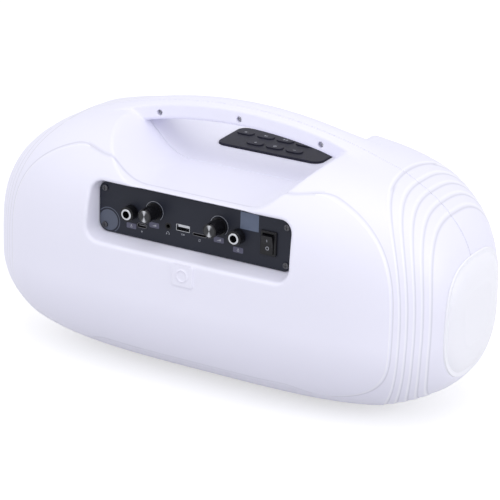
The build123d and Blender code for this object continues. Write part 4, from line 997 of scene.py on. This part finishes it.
class SPEAKER_OT_panel_prints(bpy.types.Operator):
    """Print the labels, the bare patch, the roundel and the symbols on the amplifier panel"""

    bl_idname = "speaker.panel_prints"
    bl_label = "Panel Prints"

    def execute(self, context):
        settings = context.scene.speaker_print
        film = settings.thickness / MM
        label, mark, patch, roundel = (
            screen_ink(f"{name}_ink", getattr(settings, f"{name}_colour"))
            for name in ("label", "mark", "patch", "roundel")
        )

        def ink(name, loops, x, z, material, lift=film, node="amp_panel", body=CABINET):
            printed(name, loops, node, body, material,
                    (x, 0, z), (0, 1, 0), (0, 0, 1), lift)

        size = settings.label_width / MM, settings.label_height / MM
        for part, symbol in (("mic_jack", "microphone"), ("knob", "volume")):
            for node in both(part):
                at = middle(node)
                z = at.z - settings.label_drop / MM
                ink(f"label_{node}", [box_loop(0, 0, *size, LABEL_CORNER)], at.x, z, label)
                ink(f"symbol_{node}", SYMBOLS[symbol], at.x, z, mark, 2 * film)
        for node, symbol, drop in SOCKET_SYMBOLS:
            at = middle(node)
            ink(f"symbol_{node}", SYMBOLS[symbol], at.x, at.z - drop, mark)
        ink("patch", [box_loop(0, 0, *PATCH_SIZE)], *PATCH_AT, patch)
        disc, ring = self.roundel(settings.roundel_radius / MM)
        ink("roundel_disc", [disc], *ROUNDEL_AT, roundel)
        ink("roundel_ring", [ring], *ROUNDEL_AT, roundel)
        line = arc_band(DIAL_RADIUS, DIAL_LINE, DIAL_START, DIAL_END, 48)
        for side in ("right", "left"):
            at = middle(f"knob_{side}")
            lowered = [(u, v - DIAL_RADIUS) for u, v in line]
            ink(f"dial_line_{side}", [lowered], at.x, at.z + DIAL_RADIUS, mark)
        at = middle("switch_rocker")
        for name, rise in ROCKER_MARKS:
            ink(name, SYMBOLS[name], at.x, at.z + rise, mark,
                node="switch_rocker", body="rocker_body")
        return {"FINISHED"}

    def roundel(self, radius):
        """Plain disc and the ring round it, both cut off where the panel ends."""
        low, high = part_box("amp_panel")
        half = [length / 2 / MM - PANEL_MARGIN for length in (high.x - low.x, high.z - low.z)]
        panel = middle("amp_panel")
        across, up = ROUNDEL_AT[0] - panel.x, ROUNDEL_AT[1] - panel.z

        def on_panel(u, v):
            return rounded_rectangle(across - u, up + v, half, PANEL_CORNER) < 0

        disc = []
        for u, v in circle(0, 0, radius * ROUNDEL_DISC, 96):
            reach = 1.0
            while not on_panel(u * reach, v * reach):
                reach -= 0.01
            disc.append((u * reach, v * reach))
        turns = [a for a in range(-180, 360, 2) if on_panel(*polar(radius, math.radians(a)))]
        start = next(a for a in turns if a - 2 not in turns and a > -180)
        end = start
        while end + 2 in turns:
            end += 2
        return disc, arc_band(radius * ROUNDEL_RING, ROUNDEL_LINE, start, end, 60)


class SPEAKER_OT_key_marks(bpy.types.Operator):
    """Print a symbol on each key of the control pad"""

    bl_idname = "speaker.key_marks"
    bl_label = "Key Marks"

    def execute(self, context):
        settings = context.scene.speaker_print
        material = screen_ink("key_ink", settings.mark_colour)
        facing = (0, math.sin(SCOOP_TILT), math.cos(SCOOP_TILT))
        for number, symbol in enumerate(KEY_SYMBOLS, 1):
            key = f"key_{number}"
            printed(f"mark_{key}", SYMBOLS[symbol], key, f"{key}_body", material,
                    middle(key), facing, (0, -1, 0), settings.thickness / MM)
        return {"FINISHED"}


class SPEAKER_OT_knob_caps(bpy.types.Operator):
    """Turn the grooved metal caps of the two volume knobs"""

    bl_idname = "speaker.knob_caps"
    bl_label = "Knob Caps"

    def execute(self, context):
        settings = context.scene.speaker_panel
        material = spun("turned_aluminium", (0.22, 0.225, 0.24))
        groove, depth = settings.cap_groove / MM, settings.cap_depth / MM
        for side in ("right", "left"):
            node = f"knob_cap_{side}"
            low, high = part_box(node)
            at, radius = middle(node), (high.x - low.x) / 2 / MM
            bottom, top = low.y / MM, high.y / MM
            reach = radius - CAP_RIM
            steps = max(LEAST_STEPS, int(reach / groove * STEPS_PER_GROOVE))
            profile = [
                (r, top - depth * (1 - math.cos(2 * math.pi * r / groove)))
                for r in np.linspace(0, reach, steps)
            ]
            profile += [(radius - inset, top - drop) for inset, drop in CAP_EDGE]
            points, faces = turned([*profile, (radius, bottom), (0.0, bottom)])
            points = np.stack([points[:, 0] + at.x, points[:, 2], at.z - points[:, 1]], 1)
            new_piece(f"turned_cap_{side}", points, faces, f"knob_{side}_body",
                      (node,), material)
        return {"FINISHED"}


class SPEAKER_OT_grille(bpy.types.Operator):
    """Perforate the sheet of the front grille and fold its rim"""

    bl_idname = "speaker.grille"
    bl_label = "Perforated Grille"

    def execute(self, context):
        settings = context.scene.speaker_grille
        low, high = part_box("grille")
        at = middle("grille")
        radius = (high.z - low.z) / 2 / MM
        straight = (high.x - low.x) / 2 / MM - radius
        front, back = low.y / MM, high.y / MM
        rim, pitch = settings.rim / MM, settings.pitch / MM
        sheet, sheet_faces = perforated(
            straight, radius - rim + pitch * CELL_REACH, pitch, settings.hole_radius / MM,
            front + SHEET_INSET, back - SHEET_INSET,
        )
        profile = [(0.0, back), *((inset, front + drop) for inset, drop in RIM_FOLD)]
        profile += [(rim - inset, front + drop) for inset, drop in reversed(RIM_FOLD)]
        edge, edge_faces = swept_stadium(straight, radius, [*profile, (rim, back)])
        faces = [*sheet_faces, *(tuple(i + len(sheet) for i in face) for face in edge_faces)]
        points = np.concatenate([sheet, edge]) + np.array([at.x, 0.0, at.z])
        new_piece("perforated_grille", points, faces, CABINET, ("grille",),
                  powder_coat("grille_powder", settings.colour, 0.45))
        return {"FINISHED"}


def perforated(straight, radius, pitch, hole, front, back):
    """Sheet of hexagonal cells with a round hole each, kept inside a stadium."""
    row = pitch * math.sqrt(3) / 2
    across = math.ceil((straight + radius) / pitch)
    rows = np.arange(-math.floor(radius / row), math.floor(radius / row) + 1)
    columns = np.arange(-across, across + 1)
    centres = np.array([(pitch * (i + 0.5 * (j % 2)), row * j) for j in rows for i in columns])
    reach = np.hypot(np.maximum(np.abs(centres[:, 0]) - straight, 0), centres[:, 1])
    centres = centres[reach < radius - pitch * CELL_REACH]
    turn = 2 * math.pi * np.arange(HOLE_SIDES) / HOLE_SIDES
    sixth = math.pi / 3
    border = pitch / 2 / np.cos((turn + sixth / 2) % sixth - sixth / 2)
    ring = np.stack([np.cos(turn), np.sin(turn)], 1)
    outer = (centres[:, None] + ring * border[:, None]).reshape(-1, 2)
    inner = (centres[:, None] + ring * hole).reshape(-1, 2)
    _, first, shared = np.unique(
        np.round(outer, 4), axis=0, return_index=True, return_inverse=True
    )
    outer = outer[first]
    shared = shared.reshape(len(centres), HOLE_SIDES)
    holes = len(outer) + np.arange(len(inner)).reshape(len(centres), HOLE_SIDES)
    flat = np.concatenate([outer, inner])
    layer = len(flat)
    points = np.concatenate([np.insert(flat, 1, y, axis=1) for y in (front, back)])
    a, b = shared, np.roll(shared, -1, axis=1)
    c, d = np.roll(holes, -1, axis=1), holes
    front_faces = np.stack([a, b, c, d], -1).reshape(-1, 4)
    back_faces = np.stack([d, c, b, a], -1).reshape(-1, 4) + layer
    walls = np.stack([d, c, c + layer, d + layer], -1).reshape(-1, 4)
    sides = np.stack([a, b], -1).reshape(-1, 2).tolist()
    paired = {tuple(side) for side in sides}
    rim = np.array([side for side in sides if (side[1], side[0]) not in paired])
    edge = np.stack([rim[:, 1], rim[:, 0], rim[:, 0] + layer, rim[:, 1] + layer], -1)
    return points, np.concatenate([front_faces, back_faces, walls, edge]).tolist()


def swept_stadium(straight, radius, profile, count=64):
    """Closed ring with the profile of (inset, y) pairs, swept round a stadium."""
    turn = [math.pi * (k / count - 0.5) for k in range(count + 1)]
    path = [(straight, math.cos(a), math.sin(a)) for a in turn]
    path += [(-straight, -math.cos(a), -math.sin(a)) for a in turn]
    points = [
        (x + (radius - inset) * u, y, (radius - inset) * v)
        for x, u, v in path for inset, y in profile
    ]
    wide, around = len(profile), len(path)
    faces = []
    for k in range(around):
        n = (k + 1) % around
        for i in range(wide):
            j = (i + 1) % wide
            faces.append((k * wide + i, n * wide + i, n * wide + j, k * wide + j))
    return np.array(points), faces


class SPEAKER_OT_finishes(bpy.types.Operator):
    """Give every piece of the frame that still shows its finish"""

    bl_idname = "speaker.finishes"
    bl_label = "Finishes"

    def execute(self, context):
        shell, panel = context.scene.speaker_shell, context.scene.speaker_panel
        black, pad = panel.knob_colour, panel.pad_colour
        along = (0.2, 1.0, 1.0)
        screw = {"grain": 0.0005, "depth": 6e-6, "spread": 0.14}
        finishes = (
            (moulded("cover_plastic", shell.cover_colour, 0.34, shell.grain, 4e-6, 0.01),
             both("end_cover")),
            (panel_plate("panel_varnish", panel.panel_colour), ("amp_panel",)),
            (moulded("knob_plastic", black, 0.26, 0.0004, 3e-6, 0.2, 0.3), both("knob")),
            (moulded("socket_plastic", tint(black, 1.3), 0.36, 0.0004, 5e-6, 0.2, 0.26),
             (*both("mic_jack"), "aux_jack", "switch_housing", *both("volume_pot"))),
            (moulded("rocker_plastic", tint(black, 1.5), 0.3, 0.0004, 3e-6, 0.15, 0.24),
             ("switch_rocker",)),
            (moulded("pad_plastic", pad, 0.5, 0.0005, 8e-6, 0.1, 0.12), ("control_pad",)),
            (moulded("key_plastic", tint(pad, 1.04), 0.5, 0.0004, 6e-6, 0.1, 0.12),
             tuple(f"key_{n}" for n in range(1, len(KEY_SYMBOLS) + 1))),
            (metal("plated_ring", (0.47, 0.48, 0.51), 0.16, 0.0012), both("mic_jack_ring")),
            (metal("stamped_steel", (0.40, 0.41, 0.44), 0.28, 0.0006, along), ("usb_port",)),
            (metal("dark_steel", (0.13, 0.13, 0.145), 0.34, 0.0006, along),
             ("charge_port", "card_slot")),
            (metal("zinc_screw", (0.44, 0.44, 0.49), 0.4, **screw), ("handle_screws",)),
            (metal("blacked_screw", (0.09, 0.09, 0.10), 0.34, **screw),
             ("base_screws", "panel_screws", "woofer_screws")),
            (rubbery("foot_compound", (0.02, 0.02, 0.02)), ("feet",)),
            (metallic_paint("frame_silver_paint", (0.62, 0.63, 0.66)), ("grille_frame",)),
            (circuit_board("solder_mask", (0.01, 0.075, 0.03)), ("amp_board", "key_board")),
            (fibreboard("baffle_fibre", (0.018, 0.017, 0.016)), ("baffle",)),
            (powder_coat("basket_paint", (0.015, 0.015, 0.017), 0.38), both("woofer_basket")),
            (rubbery("ferrite", (0.055, 0.055, 0.06), 0.0006), both("woofer_magnet")),
            (pressed_paper("cone_pulp", (0.022, 0.022, 0.023)),
             (*both("woofer_cone"), *both("woofer_dust_cap"), *both("woofer_spider"))),
            (rubbery("surround_compound", (0.014, 0.014, 0.014), 0.0008),
             both("woofer_surround")),
            (moulded("tweeter_plastic", (0.02, 0.02, 0.022), 0.35, 0.0005, 5e-6, 0.15),
             ("tweeter_frame",)),
            (pressed_paper("dome_silk", (0.05, 0.05, 0.055)), ("tweeter_dome",)),
            (cell_wrap("cell_sleeve_film", (0.02, 0.09, 0.32)), ("battery_cells",)),
            (moulded("tray_plastic", (0.03, 0.03, 0.031), 0.5, 0.0007, 1e-5, 0.15),
             ("battery_tray",)),
        )
        left = {name for name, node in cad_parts.items() if not node.hide_render}
        for material, names in finishes:
            for name in names:
                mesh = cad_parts[name].data
                mesh.materials.clear()
                mesh.materials.append(material)
                mesh.polygons.foreach_set("material_index", [0] * len(mesh.polygons))
                left.discard(name)
        if left:
            raise RuntimeError(f"no finish for {sorted(left)}")
        return {"FINISHED"}


class SPEAKER_OT_studio(bpy.types.Operator):
    """Set up the pale floor, the soft lamps and the camera"""

    bl_idname = "speaker.studio"
    bl_label = "Studio"

    def execute(self, context):
        settings = context.scene.speaker_stage
        self.floor(settings.floor_radius, settings.floor_colour)
        self.world(settings.sky)
        for name, place, size in LAMPS:
            self.lamp(f"{name}_lamp", place, size, getattr(settings, f"{name}_power"))
        self.camera()
        context.scene.view_settings.view_transform = "Standard"
        return {"FINISHED"}

    def floor(self, radius, colour):
        """Round pale floor that shows nearly white without lighting the object."""
        mesh = bpy.data.meshes.new("floor")
        edge = [(u, v, 0.0) for u, v in circle(0, 0, radius, 96)]
        mesh.from_pydata(edge, [], [tuple(range(len(edge)))])
        finish = Finish("floor_paper", Specular_IOR_Level=0.1, Roughness=0.9,
                        Emission_Strength=1.0)
        fibres = finish.noise(finish.place(), 0.002, 3.0)
        tone = finish.shades(fibres, colour, 1 - FLOOR_SPREAD, 1 + FLOOR_SPREAD)
        finish.feed("Base Color", tone)
        glow = finish.mix(finish.seen_or_mirrored() * FLOOR_GLOW, BLACK, WHITE)
        finish.feed("Emission Color", glow)
        mesh.materials.append(finish.material)
        linked("floor", mesh)

    def world(self, strength):
        """Even light all round, with a white backdrop for the camera and for gloss."""
        world = bpy.data.worlds.new("studio")
        world.use_nodes = True
        world.node_tree.nodes.clear()
        sky = Nodes(world.node_tree)
        light, backdrop = (
            sky.node("ShaderNodeBackground", None, {"Color": colour, "Strength": power})
            for colour, power in ((SKY_COLOUR, strength), (WHITE, 1.0))
        )
        shown = {0: sky.seen_or_mirrored(), 1: light["Background"], 2: backdrop["Background"]}
        mixed = sky.node("ShaderNodeMixShader", None, shown)["Shader"]
        sky.node("ShaderNodeOutputWorld", None, {"Surface": mixed})
        bpy.context.scene.world = world

    def lamp(self, name, place, size, power):
        """Round soft lamp turned towards the object."""
        light = bpy.data.lights.new(name, "AREA")
        light.shape, light.size, light.energy = "DISK", size, power
        lamp = linked(name, light)
        lamp.location = place
        towards = Vector(LOOK_AT) - Vector(place)
        lamp.rotation_euler = towards.to_track_quat("-Z", "Y").to_euler()

    def camera(self):
        """Camera turned about what it looks at, then rolled and shifted."""
        azimuth, elevation, roll = (math.radians(a) for a in CAMERA_ANGLES)
        level = math.cos(elevation)
        back = Vector((
            -math.sin(azimuth) * level, math.cos(azimuth) * level, math.sin(elevation),
        ))
        right = (-back).cross(Vector((0, 0, 1))).normalized()
        up = right.cross(-back)
        turned_right = right * math.cos(roll) + up * math.sin(roll)
        turned_up = up * math.cos(roll) - right * math.sin(roll)
        lens = bpy.data.cameras.new("camera")
        lens.sensor_width, lens.lens = SENSOR, FOCAL_PIXELS / PICTURE * SENSOR
        lens.shift_x, lens.shift_y = CAMERA_SHIFT
        lens.clip_end = CAMERA_FAR
        camera = linked("camera", lens)
        camera.matrix_world = Matrix((turned_right, turned_up, back)).transposed().to_4x4()
        camera.matrix_world.translation = Vector(LOOK_AT) + back * CAMERA_DISTANCE
        bpy.context.scene.camera = camera


OPERATORS = (
    SPEAKER_OT_shells, SPEAKER_OT_knob_caps, SPEAKER_OT_grille, SPEAKER_OT_panel_prints,
    SPEAKER_OT_key_marks, SPEAKER_OT_finishes, SPEAKER_OT_studio,
)
SETTINGS = {
    "speaker_shell": ShellSettings, "speaker_print": PrintSettings,
    "speaker_panel": PanelSettings, "speaker_grille": GrilleSettings,
    "speaker_stage": StageSettings,
}


class SPEAKER_PT_sidebar(bpy.types.Panel):
    """The speaker's pieces and their settings"""

    bl_idname = "SPEAKER_PT_sidebar"
    bl_label = "Portable Karaoke Speaker"
    bl_space_type = "VIEW_3D"
    bl_region_type = "UI"
    bl_category = "Speaker"

    def draw(self, context):
        for operator in OPERATORS:
            self.layout.operator(operator.bl_idname)
        for name, group in SETTINGS.items():
            box = self.layout.box()
            for key in group.__annotations__:
                box.prop(getattr(context.scene, name), key)


def register():
    for group in SETTINGS.values():
        bpy.utils.register_class(group)
    for name, group in SETTINGS.items():
        setattr(bpy.types.Scene, name, PointerProperty(type=group))
    for made in (*OPERATORS, SPEAKER_PT_sidebar):
        bpy.utils.register_class(made)


def unregister():
    for made in reversed((*OPERATORS, SPEAKER_PT_sidebar)):
        bpy.utils.unregister_class(made)
    for name, group in SETTINGS.items():
        delattr(bpy.types.Scene, name)
        bpy.utils.unregister_class(group)


def main():
    register()
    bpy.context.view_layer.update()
    for operator in OPERATORS:
        group, name = operator.bl_idname.split(".")
        getattr(getattr(bpy.ops, group), name)()


if __name__ == "__main__":
    main()
